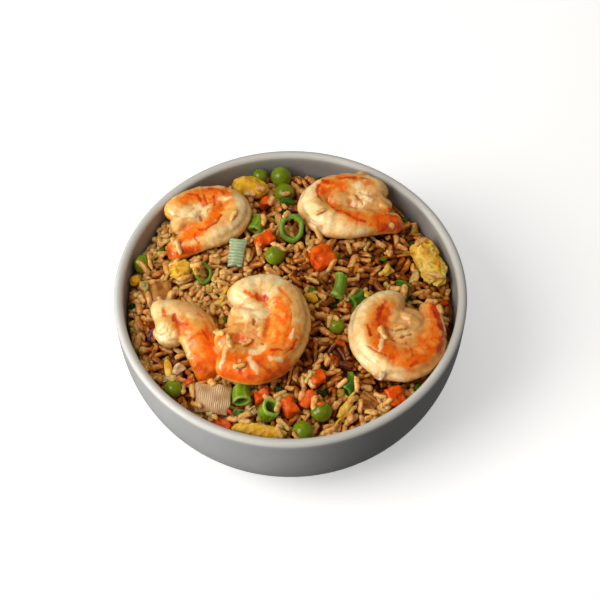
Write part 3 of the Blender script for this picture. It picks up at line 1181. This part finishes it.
# name: how far the curds stand out in mm, their spacing in mm, how pale and how browned
CURDS = {
    "egg_right": (0.90, 2.6, 0.70, 0.16), "egg_back_left": (0.45, 3.6, 0.15, 0.22),
    "egg_left": (0.70, 2.4, 0.25, 0.06), "egg_front": (0.40, 3.0, 0.40, 0.10),
    "egg_front_right": (0.20, 4.0, 0.70, 0.05), "egg_middle": (0.25, 2.6, 0.20, 0.10),
    "egg_strip_left": (0.20, 5.0, 0.80, 0.05), "egg_wall_left": (0.30, 2.6, 0.10, 0.10),
}


EGG_SMOOTHING = 6
EGG_GRAIN = 0.00016
CURDS_MIDDLE = 0.55  # curds above this stand out, the others lie deeper


def build_egg(node):
    """A piece of egg with folded curds, pale and browned in places."""
    out, spacing, pale, browned = CURDS[node]
    plain = shape_of(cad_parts[node])[:2]
    points, triangles, normals = reskinned([plain], TOPPING_VOXEL, EGG_SMOOTHING)
    seed = points[0, 0] * 1000
    curds = 1 - 2 * np.abs(noise_at(points, spacing * MM, seed))
    fine = noise_at(points, 0.0012, seed)
    points = points + normals * (out * MM * (curds - CURDS_MIDDLE) + EGG_GRAIN * fine)[:, None]
    pale_at = pale * (0.55 + 0.9 * noise_at(points, 0.0045, seed + 4)) + 0.25 * smooth_step(0.7, 1.0, curds)
    brown_at = smooth_step(0.22, 0.5, noise_at(points, 0.0030, seed + 9)) * browned * 2
    hollow = smooth_step(0.30, 0.0, curds) * 0.22
    masks = {"pale": np.clip(pale_at, 0, 1), "browned": np.clip(brown_at + hollow, 0, 1)}
    return add_piece([node], node + "_curds", points, triangles, LOOKS["fried_egg"], masks)


# name: size, thickness, radius of the bend, turn, tilt, count of ribs, where they lie, and look
ONIONS = {
    "onion_front_left": ((0.0150, 0.0125), 0.0016, 0.0160, -8, 14, 19, "across", "soft_onion"),
    "onion_front_right": ((0.0090, 0.0080), 0.0014, 0.0090, 60, 12, 5, "across", "amber_onion"),
    "onion_wall_left": ((0.0130, 0.0110), 0.0020, 0.0130, 10, 6, 3, "across", "amber_onion"),
    "onion_sliver_front": ((0.0036, 0.0034), 0.0014, 0.0060, 30, 20, 2, "across", "soft_onion"),
    "leek_middle": ((0.0068, 0.0125), 0.0012, 0.0060, -10, 24, 9, "along", "pale_leek"),
}
ONION_ACROSS = 72
ONION_ALONG = 48
SOFT_EDGE = 0.045  # how far in the sheet of onion thins, as a share of its size
EDGE_THICKNESS = 0.25  # what is left of the thickness at the edge
RIB_RELIEF = 0.00014
ONION_WAVES = 0.0002


def build_onion(node):
    """A piece of one layer: a sheet bent over an arc, ribbed along its length, with rounded edges."""
    size, thickness, bend, turn, tilt, ribs, ribbed, look = ONIONS[node]
    x = np.linspace(-0.5, 0.5, ONION_ACROSS)
    y = np.linspace(-0.5, 0.5, ONION_ALONG)
    gx, gy = np.meshgrid(x, y, indexing="ij")
    edge = np.minimum(0.5 - np.abs(gx), (0.5 - np.abs(gy)) * size[1] / size[0])
    seed = size[0] * 5000
    wave = np.array([[noise.noise((a * 3, b * 3, seed)) for b in y] for a in x])
    rib = np.cos(2 * math.pi * ribs * (gy if ribbed == "along" else gx) + 1.6 * wave) * (0.6 + wave)
    half = thickness / 2 * (EDGE_THICKNESS + (1 - EDGE_THICKNESS) * np.minimum(edge / SOFT_EDGE, 1.0) ** 0.5)
    angle = gx * size[0] / bend
    bow = (gy * size[1]) ** 2 / (4 * bend)
    spread = 1 + 0.10 * wave + 0.16 * gy
    ragged = gy * size[1] * (1 + 0.12 * wave)
    over = bend + half + RIB_RELIEF * rib + ONION_WAVES * wave
    under = bend - half + ONION_WAVES * wave
    sheets = [(r * np.sin(angle) * spread, ragged, r * np.cos(angle) - bend - bow) for r in (over, under)]
    points = np.concatenate([np.stack(sheet, axis=-1).reshape(-1, 3) for sheet in sheets])
    index = np.arange(gx.size).reshape(gx.shape)
    top = [index[:-1, :-1], index[1:, :-1], index[1:, 1:], index[:-1, 1:]]
    top = np.stack(top, axis=-1).reshape(-1, 4)
    rim = np.concatenate([index[:, 0], index[-1, 1:], index[-2::-1, -1], index[0, -2:0:-1]])
    nxt = np.roll(rim, -1)
    walls = np.stack([nxt, rim, rim + gx.size, nxt + gx.size], axis=1)
    faces = np.concatenate([top, top[:, ::-1] + gx.size, walls])
    rib_at = np.tile(smooth_step(0.1, 0.8, rib).reshape(-1) * 0.7, 2)
    placed = laid(points, node, turn, tilt)
    return add_piece([node], node + "_layer", placed, faces, LOOKS[look], {"rib": rib_at})


def build_toppings():
    """Every piece that lies on the rice."""
    shrimp = shrimp_finish()
    made = [build_shrimp(name, shrimp) for name in SHRIMPS]
    nodes = sorted(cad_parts)
    peas, carrots = ([n for n in nodes if n.startswith(kind)] for kind in ("pea_", "carrot_"))
    kinds = (
        (build_pea, peas), (build_scallion, SCALLIONS), (build_carrot, carrots), (build_egg, CURDS),
        (build_onion, ONIONS),
    )
    for build, names in kinds:
        made += [build(n) for n in names]
    return made


# ---------------------------------------------------------------- the rice


def tree_of(pieces):
    """One search tree over the surfaces of pieces."""
    return BVHTree.FromPolygons(*joined([shape_of(piece)[:2] for piece in pieces]))


def clump(x, y):
    """How far the loose grains stand up in clumps or leave a dip."""
    high = CLUMP_RISE * noise.noise((x / CLUMP_SPACING, y / CLUMP_SPACING, 31.0))
    return high + TUFT_RISE * noise.noise((x / TUFT_SPACING, y / TUFT_SPACING, 3.0))


class Heights:
    """Height grids over the bowl: where the heap should end, what lies over it, and how far it is filled."""

    def __init__(self, tree):
        self.half = int(INSIDE_RADIUS / CELL) + 2
        self.count = 2 * self.half + 1
        line = ((np.arange(self.count) - self.half) * CELL).tolist()
        self.ceiling = np.full((self.count, self.count), 1.0)
        self.target = np.full((self.count, self.count), -1.0)
        up = Vector((0.0, 0.0, 1.0))
        for i, x in enumerate(line):
            for j, y in enumerate(line):
                if x * x + y * y > INSIDE_RADIUS ** 2:
                    continue
                hit = tree.ray_cast(Vector((x, y, 0.0)), up)[0]
                self.target[i, j] = heap_height(x, y) + clump(x, y)
                if hit:
                    self.ceiling[i, j] = hit.z
        self.target = np.minimum(self.target, self.ceiling - UNDER_TOPPINGS)
        self.filled = self.target - LAYER

    def level(self):
        """The height of the laid grains, averaged over squares a little wider than a grain is long."""
        summed = self.filled
        for axis in (0, 1):
            summed = sum(np.roll(summed, i, axis=axis) for i in range(-LEVEL_REACH, LEVEL_REACH + 1))
        return summed / (2 * LEVEL_REACH + 1) ** 2

    def cell(self, values):
        """The rows or columns of the grids for places in metres."""
        return np.clip(np.round(values / CELL).astype(int) + self.half, 0, self.count - 1)


# Pairs of the places under a grain, one on each side of its middle, that it can lie across
MIDDLE = STATIONS // 2
PAIRS = np.meshgrid(range(MIDDLE + 1), range(MIDDLE, STATIONS), indexing="ij")
PAIR_LEFT, PAIR_RIGHT = (grid.ravel() for grid in PAIRS)


def resting(support, at):
    """(height, slope) of a grain's middle on the highest line across two supports, or on one support."""
    gap = np.maximum(at[PAIR_RIGHT] - at[PAIR_LEFT], 1e-9)
    slope = (support[PAIR_RIGHT] - support[PAIR_LEFT]) / gap
    alone = PAIR_LEFT == PAIR_RIGHT
    level = np.where(alone, support[MIDDLE], support[PAIR_LEFT] - slope * at[PAIR_LEFT])
    best = level.argmax()
    return level[best], None if alone[best] else slope[best]


def emptiest_place(heights, rng):
    """Of a few places tried, the one where the heap lacks most, or None where it is full."""
    reach = (INSIDE_RADIUS - EDGE_MARGIN) * np.sqrt(rng.random(TRIES))
    angle = rng.random(TRIES) * 2 * math.pi
    xs, ys = reach * np.cos(angle), reach * np.sin(angle)
    ix, iy = heights.cell(xs), heights.cell(ys)
    need = heights.target[ix, iy] - heights.filled[ix, iy] + rng.normal(0, NEED_SPREAD, TRIES)
    pick = need.argmax()
    return None if need[pick] < -OVERFILL else (xs[pick], ys[pick])


def lay_grain(heights, rng):
    """Drops a grain, which comes to rest on what lies there: its row, or None if it does not fit."""
    place = emptiest_place(heights, rng)
    if place is None:
        return None
    x, y = place
    broken = rng.random() < BROKEN_SHARE
    length = GRAIN_LENGTH * (rng.uniform(*BROKEN_LENGTH) if broken else rng.normal(1.0, LENGTH_SPREAD))
    radius = GRAIN_RADIUS * float(np.clip(rng.normal(1.0, RADIUS_SPREAD), *RADIUS_LIMITS))
    half = length / 2
    swirl = noise.noise((x / SWIRL_SPACING, y / SWIRL_SPACING, 4.0)) * SWIRL
    yaw = swirl + rng.normal(0, YAW_SPREAD)
    c, s = math.cos(yaw), math.sin(yaw)
    ends = (math.hypot(x + half * c, y + half * s), math.hypot(x - half * c, y - half * s))
    if max(ends) + radius * 0.7 > INSIDE_RADIUS - WALL_CLEARANCE:
        return None
    at = np.linspace(-1, 1, STATIONS) * half * CARRIED
    support = np.full(STATIONS, -1.0)
    for aside in (-0.55, 0.0, 0.55):
        px, py = x + at * c - aside * radius * s, y + at * s + aside * radius * c
        support = np.maximum(support, heights.filled[heights.cell(px), heights.cell(py)])
    rest, incline = resting(support, at)
    if incline is None:
        incline = rng.normal(0, LYING_TILT)
    if rng.random() < UPRIGHT_SHARE:
        lift = rng.uniform(*LIFT) * rng.choice((-1, 1))
        incline += lift
        rest += abs(lift) * half * 0.45
    incline = float(np.clip(incline, -STEEPEST, STEEPEST))
    z = rest - radius * SUNK
    flat_c = 1 / math.sqrt(1 + incline * incline)
    span = int((half + radius) / CELL) + 2
    ci, cj = int(heights.cell(np.array(x))), int(heights.cell(np.array(y)))
    if min(ci, cj) < span or max(ci, cj) > heights.count - span - 1:
        return None
    patch = (slice(ci - span, ci + span + 1), slice(cj - span, cj + span + 1))
    gx = (np.arange(ci - span, ci + span + 1) - heights.half)[:, None] * CELL - x
    gy = (np.arange(cj - span, cj + span + 1) - heights.half)[None, :] * CELL - y
    along, aside = gx * c + gy * s, gy * c - gx * s
    waist = radius * np.sqrt(np.maximum(1 - (np.abs(along) / (half * flat_c)) ** 3, 0))
    covered = np.abs(aside) < waist
    top = z + along * incline + np.sqrt(np.maximum(waist ** 2 - aside ** 2, 0)) / flat_c
    if (covered & (top > heights.ceiling[patch] - 0.0001)).any():
        return None
    if (top[covered] - heights.target[patch][covered]).max(initial=-1.0) > TALLEST_OVER_HEAP:
        return None
    filled = heights.filled[patch]
    heights.filled[patch] = np.where(covered, np.maximum(filled, top), filled)
    return x, y, z, yaw, math.atan(incline), length, radius, broken


def lay_grains(heights, rng):
    """The rows of all grains: x, y, z, yaw, pitch, length, radius and whether it is broken."""
    rows = [lay_grain(heights, rng) for _ in range(DROPS)]
    return np.array([row for row in rows if row], float)


def grain_templates(rng):
    """Unit grains, each a little different: rings of points from tip to tip, along X, 1 long and 1 thick."""
    places = np.cos(np.linspace(math.pi, 0, GRAIN_RINGS + 2))[1:-1][:, None]
    angles = np.linspace(0, 2 * math.pi, GRAIN_AROUND, endpoint=False)
    shapes = []
    for _ in range(TEMPLATES):
        blunt = rng.uniform(2.8, 7.0)
        taper = rng.uniform(-0.24, 0.24)
        bend = rng.normal(0, 0.035)
        sway = rng.normal(0, 0.03)
        flat = rng.uniform(0.68, 1.0)
        twist = rng.uniform(0, 0.5)
        lumps = 1 + rng.normal(0, 0.07, (GRAIN_RINGS, GRAIN_AROUND)) + rng.normal(0, 0.11, (1, GRAIN_AROUND))
        slant = rng.normal(0, 0.05, 2)
        size = (1 - np.abs(places) ** blunt) ** (1 / 2.1) * (1 + taper * places)
        slanted = np.abs(places) ** 3 * (slant[0] * np.cos(angles) + slant[1] * np.sin(angles))
        turned = angles + twist * places
        rings = [places * 0.5 + slanted, size * np.cos(turned) * lumps, size * np.sin(turned) * lumps * flat]
        ring = np.stack(rings, axis=-1)
        ring[:, :, 1:] += rng.normal(0, 0.06, (GRAIN_RINGS, 1, 2))
        points = np.concatenate([[[-0.5, 0, 0]], ring.reshape(-1, 3), [[0.5, 0, 0]]])
        shapes.append((points, bend, sway))
    return shapes


def spun(a, b, angles):
    """Two coordinates of each grain's points, turned by the grain's angle."""
    c, s = np.cos(angles)[:, None], np.sin(angles)[:, None]
    return a * c - b * s, a * s + b * c


def grain_points(grains, shapes, rng):
    """Points of all grains in their places, (grain, point, 3)."""
    choice = rng.integers(0, len(shapes), len(grains))
    unit, bend, sway = (np.stack([shape[k] for shape in shapes])[choice] for k in range(3))
    x, y, z, yaw, pitch, length, radius, _ = grains.T
    bowed = (unit[:, :, 0] * 2) ** 2 - 0.33
    lx = unit[:, :, 0] * length[:, None]
    ly = unit[:, :, 1] * radius[:, None] + (bend * length)[:, None] * bowed
    lz = unit[:, :, 2] * radius[:, None] + (sway * length)[:, None] * bowed
    ly, lz = spun(ly, lz, rng.random(len(grains)) * 2 * math.pi)
    lx, lz = spun(lx, lz, pitch)
    lx, ly = spun(lx, ly, yaw)
    return np.stack([lx + x[:, None], ly + y[:, None], lz + z[:, None]], axis=-1)


def many_grains(points):
    """(points, triangles) of one mesh of many grains, given as (grain, point, 3)."""
    firsts = np.arange(len(points)) * points.shape[1]
    faces = capped_rings(GRAIN_RINGS, GRAIN_AROUND)[None] + firsts[:, None, None]
    return points.reshape(-1, 3), faces.reshape(-1, 3)


def grain_piece(name, grains, stain, level, heights):
    """One mesh of many grains; a grain's skin is browner where it lies below the grains round it."""
    points, faces = many_grains(grains)
    buried = level[heights.cell(points[:, 0]), heights.cell(points[:, 1])] - points[:, 2]
    stain = np.repeat(stain, grains.shape[1]) + 0.45 * noise_at(points, 0.0013, 2.0)
    stain = stain + 0.25 * noise_at(points, 0.0006, 8.0)
    stain += BURIED_STAIN * np.clip(buried, *BURIED_REACH)
    masks = {"stain": np.clip(stain, 0, 1)}
    add_piece(["rice"], "grains_" + name, points, faces, grain_finish("rice_" + name), masks)


# Small bits on the rice. Each lies beside a node of the part: kind, node, how far right and back of
# its middle in half sizes of its box, then the bit's half sizes in mm and its turn in degrees
BITS = (
    ("leaf", "scallion_ring_back", (3.7, -2.2), (2.4, 1.7, 0.7), 30),
    ("leaf", "pea_back_lower", (0.3, -1.5), (3.8, 1.6, 1.0), -8),
    ("leaf", "pea_front_left", (-0.9, -0.9), (3.0, 1.9, 0.8), 35),
    ("leaf", "scallion_front_left", (0.9, -1.5), (2.2, 1.4, 0.7), -30),
    ("green", "egg_right", (-1.2, -1.15), (1.8, 1.0, 0.6), 40),
    ("green", "carrot_front_sliver", (-0.3, 1.9), (1.6, 0.9, 0.5), -20),
    ("carrot", "pea_front_left", (1.5, 0.6), (2.6, 1.3, 1.0), -12),
    ("carrot", "pea_beside_right_shrimp", (0.4, -2.4), (3.0, 1.0, 0.8), -18),
    ("carrot", "scallion_tucked", (-1.4, 0.4), (1.9, 1.2, 0.9), 60),
    ("carrot", "carrot_front_sliver", (1.2, -0.9), (1.7, 1.1, 0.9), 10),
    ("egg", "shrimp_front", (-0.92, 0.84), (3.8, 0.8, 0.7), 66),
    ("egg", "shrimp_front", (-1.02, 0.66), (3.0, 0.7, 0.6), 40),
    ("egg", "shrimp_right", (-0.60, 1.02), (2.2, 1.6, 1.1), 15),
    ("egg", "carrot_middle", (4.3, -0.6), (3.0, 2.0, 1.0), 20),
    ("egg", "egg_front_right", (0.6, 0.9), (4.4, 0.7, 0.6), 62),
    ("egg", "egg_front_right", (-0.2, -0.8), (3.8, 0.7, 0.6), 38),
    ("egg", "egg_left", (1.3, -0.8), (1.5, 1.1, 0.8), 0),
    ("egg", "scallion_middle", (-2.6, -1.4), (1.7, 1.0, 0.7), 50),
    ("onion", "carrot_front_right", (-1.2, 1.1), (3.0, 1.9, 0.7), 12),
    ("onion", "shrimp_left", (-0.32, -0.76), (2.8, 2.0, 1.2), 10),
    ("red_onion", "shrimp_left", (-1.05, 0.25), (2.6, 1.8, 0.8), 60),
)
# Grains that lie across the edges of a piece, so that it sits in the rice: node and their number
STREWN = {
    "carrot_middle": 4, "carrot_back": 3, "carrot_behind_ring": 2, "carrot_under_shrimp": 1,
    "carrot_front": 2, "carrot_front_sliver": 2, "carrot_front_centre": 4,
    "carrot_front_right": 2, "carrot_wall_left": 3,
    "scallion_ring_back": 1, "scallion_ring_left": 1, "scallion_ring_front": 1, "scallion_back_left": 1,
    "scallion_middle_right": 1, "scallion_right": 1, "scallion_front_right": 2,
    "scallion_tucked": 1, "leek_middle": 1, "onion_front_left": 2, "onion_front_right": 6,
    "onion_wall_left": 14, "egg_right": 4, "egg_back_left": 3, "egg_left": 3, "egg_front": 4,
    "egg_front_right": 3, "egg_middle": 1, "pea_middle": 1, "pea_back_lower": 1,
    "pea_beside_right_shrimp": 2, "pea_front_left": 4, "pea_wall_left": 2, "pea_front_lower": 1,
    "shrimp_left": 3, "shrimp_back_left": 5, "shrimp_back_right": 4, "shrimp_front": 2, "shrimp_right": 4,
}
# Grains that lie on a shrimp: node, how far right and back in half sizes of its box, and turn
ON_SHRIMPS = (
    ("shrimp_front", (-0.36, -0.36), 28), ("shrimp_front", (-0.92, -0.70), 30),
    ("shrimp_right", (-0.32, -0.16), -62), ("shrimp_right", (0.02, 0.00), 8),
    ("shrimp_right", (-0.98, 0.22), 10), ("shrimp_back_right", (-0.60, -0.50), 25),
    ("shrimp_back_left", (0.62, -0.10), 62),
)


class Ground:
    """What a bit or a grain comes to rest on: the laid rice or a piece on it."""

    def __init__(self, tree, heights):
        self.tree = tree
        self.heights = heights

    def at(self, x, y):
        rice = float(self.heights.filled[self.heights.cell(np.array(x)), self.heights.cell(np.array(y))])
        hit = self.tree.ray_cast(Vector((x, y, 2 * BOWL_HEIGHT)), Vector((0.0, 0.0, -1.0)))[0]
        return max(rice, hit.z) if hit else rice

    def normal(self, x, y, reach):
        east, west = self.at(x + reach, y), self.at(x - reach, y)
        north, south = self.at(x, y + reach), self.at(x, y - reach)
        return Vector((west - east, south - north, 2 * reach)).normalized()


def beside(node, shares):
    """A place right and back of a node's middle, in half sizes of its box."""
    low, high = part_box(node)
    middle, half = (low + high) / 2, (high - low) / 2
    return middle.x + half.x * shares[0], middle.y + half.y * shares[1]


# What bits and crumbs are made of: slot and look
SCRAPS = {
    "leaf": ("scallion_green", "scallion_dark"), "green": ("scallion_green", "scallion_bright"),
    "carrot": ("carrot_orange", "diced_carrot"), "egg": ("scrambled_egg", "fried_egg"),
    "onion": ("soft_onion", "soft_onion"), "red_onion": ("soft_onion", "red_onion"),
}


def build_bits(ground):
    """Crumbs, slivers and threads of the other toppings, a little sunk in the rice."""
    for index, (kind, node, shares, half, turn) in enumerate(BITS):
        x, y = beside(node, shares)
        half = np.array(half) * MM
        points, faces = ball((0, 0, 0), half, 0.0, 40, 24)
        points = points * (1 + 0.75 * noise_at(points / half, 1.1, index * 3.0))[:, None]
        points[:, 1] += 0.35 * half[1] * np.sin(points[:, 0] / half[0] * 2.2 + index)
        points[:, 2] += 0.5 * half[2] * np.cos(points[:, 0] / half[0] * 2.0 + index)
        points += 0.00012 * noise_at(points, 0.0008, index)[:, None]
        turned_by = tipped_to(ground.normal(x, y, half[0] * 0.8), (turn, "Z"))
        level = max(ground.at(x, y), (ground.at(x + half[1], y) + ground.at(x - half[1], y)) / 2)
        points = points @ turned_by.T + (x, y, level + half[2] * 0.25)
        patchy = noise_at(points, 0.0018, index)
        masks = {"pale": 0.35 + 0.7 * patchy, "dull": 0.3 + patchy, "stripe": 0.3 * patchy}
        masks["rib"] = 0.4 + patchy
        masks = {key: np.clip(values, 0, 1) for key, values in masks.items()}
        slot, look = SCRAPS[kind]
        add_piece((), f"bit_{kind}_{index}", points, faces, LOOKS[look], masks)


def strewn_grains(ground, rng):
    """Grains across the edges of the pieces and on the shrimps: rows as lay_grains gives them."""
    rows = []

    def drop(x, y, yaw, length, radius, steepest):
        half_x, half_y = math.cos(yaw) * length * RESTS_AT, math.sin(yaw) * length * RESTS_AT
        if math.hypot(abs(x) + abs(half_x), abs(y) + abs(half_y)) > INSIDE_RADIUS - 0.002:
            return False
        first, last = ground.at(x - half_x, y - half_y), ground.at(x + half_x, y + half_y)
        between = ground.at(x, y)
        if abs(last - first) > steepest * length or between < min(first, last) - 0.002:
            return False
        pitch = math.atan2(last - first, 2 * RESTS_AT * length)
        level = max((first + last) / 2, between)
        rows.append((x, y, level + radius * 0.45, yaw, pitch, length, radius, 0.0))
        return True

    for node, wanted in STREWN.items():
        out_low, out_high = (0.96, 1.12) if node in SHRIMPS else (0.72, 1.10)
        found = 0
        for _ in range(wanted * 30):
            if found == wanted:
                break
            angle = rng.uniform(0, 2 * math.pi)
            out = rng.uniform(out_low, out_high)
            x, y = beside(node, (out * math.cos(angle), out * math.sin(angle)))
            length = GRAIN_LENGTH * rng.uniform(0.55, 1.05)
            radius = GRAIN_RADIUS * rng.uniform(0.85, 1.05)
            found += drop(x, y, rng.uniform(0, 2 * math.pi), length, radius, 0.75)
    for node, shares, turn in ON_SHRIMPS:
        length = GRAIN_LENGTH * rng.uniform(0.70, 0.95)
        drop(*beside(node, shares), math.radians(turn), length, GRAIN_RADIUS * 0.9, 1.2)
    return np.array(rows, float)


# Where the rice is browner (above 0) or paler: node, how far right and back of its middle in half
# sizes of its box, reach in mm and how much
TINTED = (
    ("shrimp_front", (1.4, -0.1), 12, 0.30), ("pea_front_left", (-0.5, 0.8), 12, 1.00),
    ("shrimp_right", (0.2, 1.5), 12, 0.10), ("shrimp_right", (-0.9, -1.2), 11, 0.15),
    ("shrimp_left", (0.5, 1.3), 13, -0.75), ("shrimp_back_left", (-1.1, -0.3), 12, -1.00),
    ("shrimp_back_right", (-1.4, -0.6), 10, -0.20), ("shrimp_front", (0.5, -1.5), 10, 0.15),
)
# Which broken bits among the grains are crumbs of a topping: kind, and from which share to which
CRUMBS = (("egg", 0.0, 0.12), ("carrot", 0.12, 0.155), ("green", 0.155, 0.18), ("leaf", 0.18, 0.205))


def crumb_piece(kind, crumbs):
    """One mesh of many crumbs, shaped as broken grains are."""
    points, faces = many_grains(crumbs)
    patchy = np.clip(0.4 + noise_at(points, 0.003, 5.0), 0, 1)
    slot, look = SCRAPS[kind]
    add_piece((), "crumbs_" + kind, points, faces, LOOKS[look], {"pale": patchy, "dull": patchy})


def build_core(heights):
    """The sauced mass under the loose grains: the bowl's inside below and a rough top."""
    profile = [p for p in inner_profile(WALL_CLEARANCE)[1:] if p[1] < EDGE_LEVEL - LAYER - CORE_DEPTH]
    edge = inside_radius_at(EDGE_LEVEL) - WALL_CLEARANCE - 0.0002
    angles = np.linspace(0, 2 * math.pi, CORE_SPOKES, endpoint=False)
    rings = []
    for k in range(CORE_RINGS):
        ring = ring_at(edge * (k + 1) / CORE_RINGS, 0.0, angles)
        rough = CORE_ROUGH * noise_at(ring, 0.0022, 2.0) + CORE_GRAIN * noise_at(ring, 0.0009, 6.0)
        px, py = ring[:, 0] * 0.985, ring[:, 1] * 0.985
        ring[:, 2] = heights.target[heights.cell(px), heights.cell(py)] - LAYER - CORE_SINK + rough
        rings.append(ring)
    middle = rings[0][:, 2].mean()
    rings += [ring_at(r, z, angles) for r, z in reversed(profile)]
    points = np.concatenate([[[0.0, 0.0, middle]], *rings, [[0.0, 0.0, FLOOR_HEIGHT + WALL_CLEARANCE]]])
    faces = capped_rings(len(rings), CORE_SPOKES)
    add_piece(["rice"], "rice_core", points, faces, LOOKS["sauced_core"])


def build_rice(toppings):
    """The core, the grains that fill the heap, and all that is scattered over them."""
    rng = np.random.default_rng(SEED)
    tree = tree_of(toppings)
    heights = Heights(tree)
    build_core(heights)
    grains = lay_grains(heights, rng)
    ground = Ground(tree, heights)
    build_bits(ground)
    on_top = strewn_grains(ground, rng)
    shapes = grain_templates(rng)
    top_points = grain_points(on_top, shapes, rng)
    top_stain = rng.uniform(*STREWN_STAIN, len(on_top))
    points = grain_points(grains, shapes, rng)
    spots = grains[:, :3]
    patchy = noise_at(spots, 0.009, 1.0) + 0.5 * noise_at(spots, 0.004, 7.0)
    level = heights.level()
    across = np.clip(spots[:, 0] / INSIDE_RADIUS, -0.6, 0.5)
    tinted = np.zeros(len(grains))
    for node, shares, reach, more in TINTED:
        away = np.linalg.norm(spots[:, :2] - beside(node, shares), axis=1)
        tinted += more * np.exp(-(away / (reach * MM)) ** 2)
    spread = rng.normal(0, STAIN_SPREAD, len(grains))
    stain = STAIN + tinted + STAIN_PATCHES * patchy + spread + STAIN_ACROSS * across
    broken = grains[:, 7] > 0.5
    lot = rng.random(len(grains))
    for kind, low, high in CRUMBS:
        crumb_piece(kind, points[broken & (lot >= low) & (lot < high)])
    broken &= lot >= CRUMBS[-1][2]
    order = np.argsort(stain + 0.001 * rng.random(len(stain)))
    thirds = np.array_split(order[~broken[order]], 3)
    for name, rows in zip(("pale", "golden", "sauced", "broken"), (*thirds, broken)):
        grain_piece(name, points[rows], stain[rows], level, heights)
    free = np.full_like(level, -1.0)
    grain_piece("strewn", top_points, top_stain, free, heights)


# ---------------------------------------------------------------- stage


FLOOR_LOOK = {
    "Base Color": (0.86, 0.86, 0.86, 1.0), "Specular IOR Level": 0.0,
    "Emission Color": (1.0, 1.0, 1.0, 1.0), "Emission Strength": 0.35,
}
FLOOR_REACH = 3
AIM_HEIGHT = 0.05
# name: direction, distance, size, power, colour and whether it shows in glossy things
LIGHTS = {
    "key": ((-0.74, -0.34, 0.86), 1.0, (0.60, 0.60), 7.2, (1.0, 0.97, 0.92), True),
    "side": ((-0.95, -0.42, 0.10), 1.0, (0.50, 0.30), 9.0, (1.0, 1.0, 1.0), True),
    "overhead": ((0.10, 0.10, 1.0), 0.9, (1.1, 1.1), 3.6, (1.0, 0.98, 0.94), False),
}


def build_stage():
    """A pale floor, a soft light from the left and front, and a weak fill from all round."""
    finish = Finish("studio_floor", 0.9)
    for key, value in FLOOR_LOOK.items():
        finish.shader.inputs[key].default_value = value
    corners = np.array([[-1, -1, 0], [1, -1, 0], [1, 1, 0], [-1, 1, 0]], float) * FLOOR_REACH
    floor = make_piece("studio_floor", corners, np.array([[0, 1, 2, 3]]), finish.material)
    floor.visible_diffuse = False
    floor.visible_glossy = False

    world = bpy.data.worlds.new("studio")
    world.use_nodes = True
    bpy.context.scene.world = world
    back = world.node_tree.nodes["Background"]
    back.inputs["Color"].default_value = (1.0, 0.985, 0.965, 1.0)
    back.inputs["Strength"].default_value = 0.12

    aim = Vector((0.0, 0.0, AIM_HEIGHT))
    for name, (direction, distance, size, power, colour, glossy) in LIGHTS.items():
        data = bpy.data.lights.new(name, "AREA")
        data.shape = "RECTANGLE"
        data.size, data.size_y = size
        data.energy = power
        data.color = colour
        lamp = bpy.data.objects.new(name, data)
        lamp.location = aim + Vector(direction).normalized() * distance
        lamp.rotation_euler = (aim - lamp.location).to_track_quat("-Z", "Y").to_euler()
        lamp.visible_glossy = glossy
        bpy.context.scene.collection.objects.link(lamp)


ELEVATION = math.radians(57.11)
DISTANCE = 0.600
FOCAL = 2.3585  # the focal length, in widths of the sensor
SENSOR = 36.0
AIM_RIGHT = 0.0041  # how far right of and below the rim's middle the camera looks
AIM_BELOW = 0.0053


def build_camera():
    """Looks down on the bowl from the front."""
    data = bpy.data.cameras.new("camera")
    data.sensor_width = SENSOR
    data.lens = FOCAL * SENSOR
    data.clip_start = 0.01
    camera = bpy.data.objects.new("camera", data)
    ahead = Vector((0.0, math.cos(ELEVATION), -math.sin(ELEVATION)))
    right = Vector((1.0, 0.0, 0.0))
    up = right.cross(ahead)
    eye = Vector((0.0, 0.0, BOWL_HEIGHT)) - ahead * DISTANCE
    eye += right * AIM_RIGHT - up * AIM_BELOW
    columns = ((*right, 0.0), (*up, 0.0), (*-ahead, 0.0), (*eye, 1.0))
    camera.matrix_world = Matrix(columns).transposed()
    bpy.context.scene.collection.objects.link(camera)
    bpy.context.scene.camera = camera


build_stage()
build_camera()
build_bowl()
build_rice(build_toppings())
bpy.context.scene.view_settings.view_transform = "Standard"

bpy.context.view_layer.update()
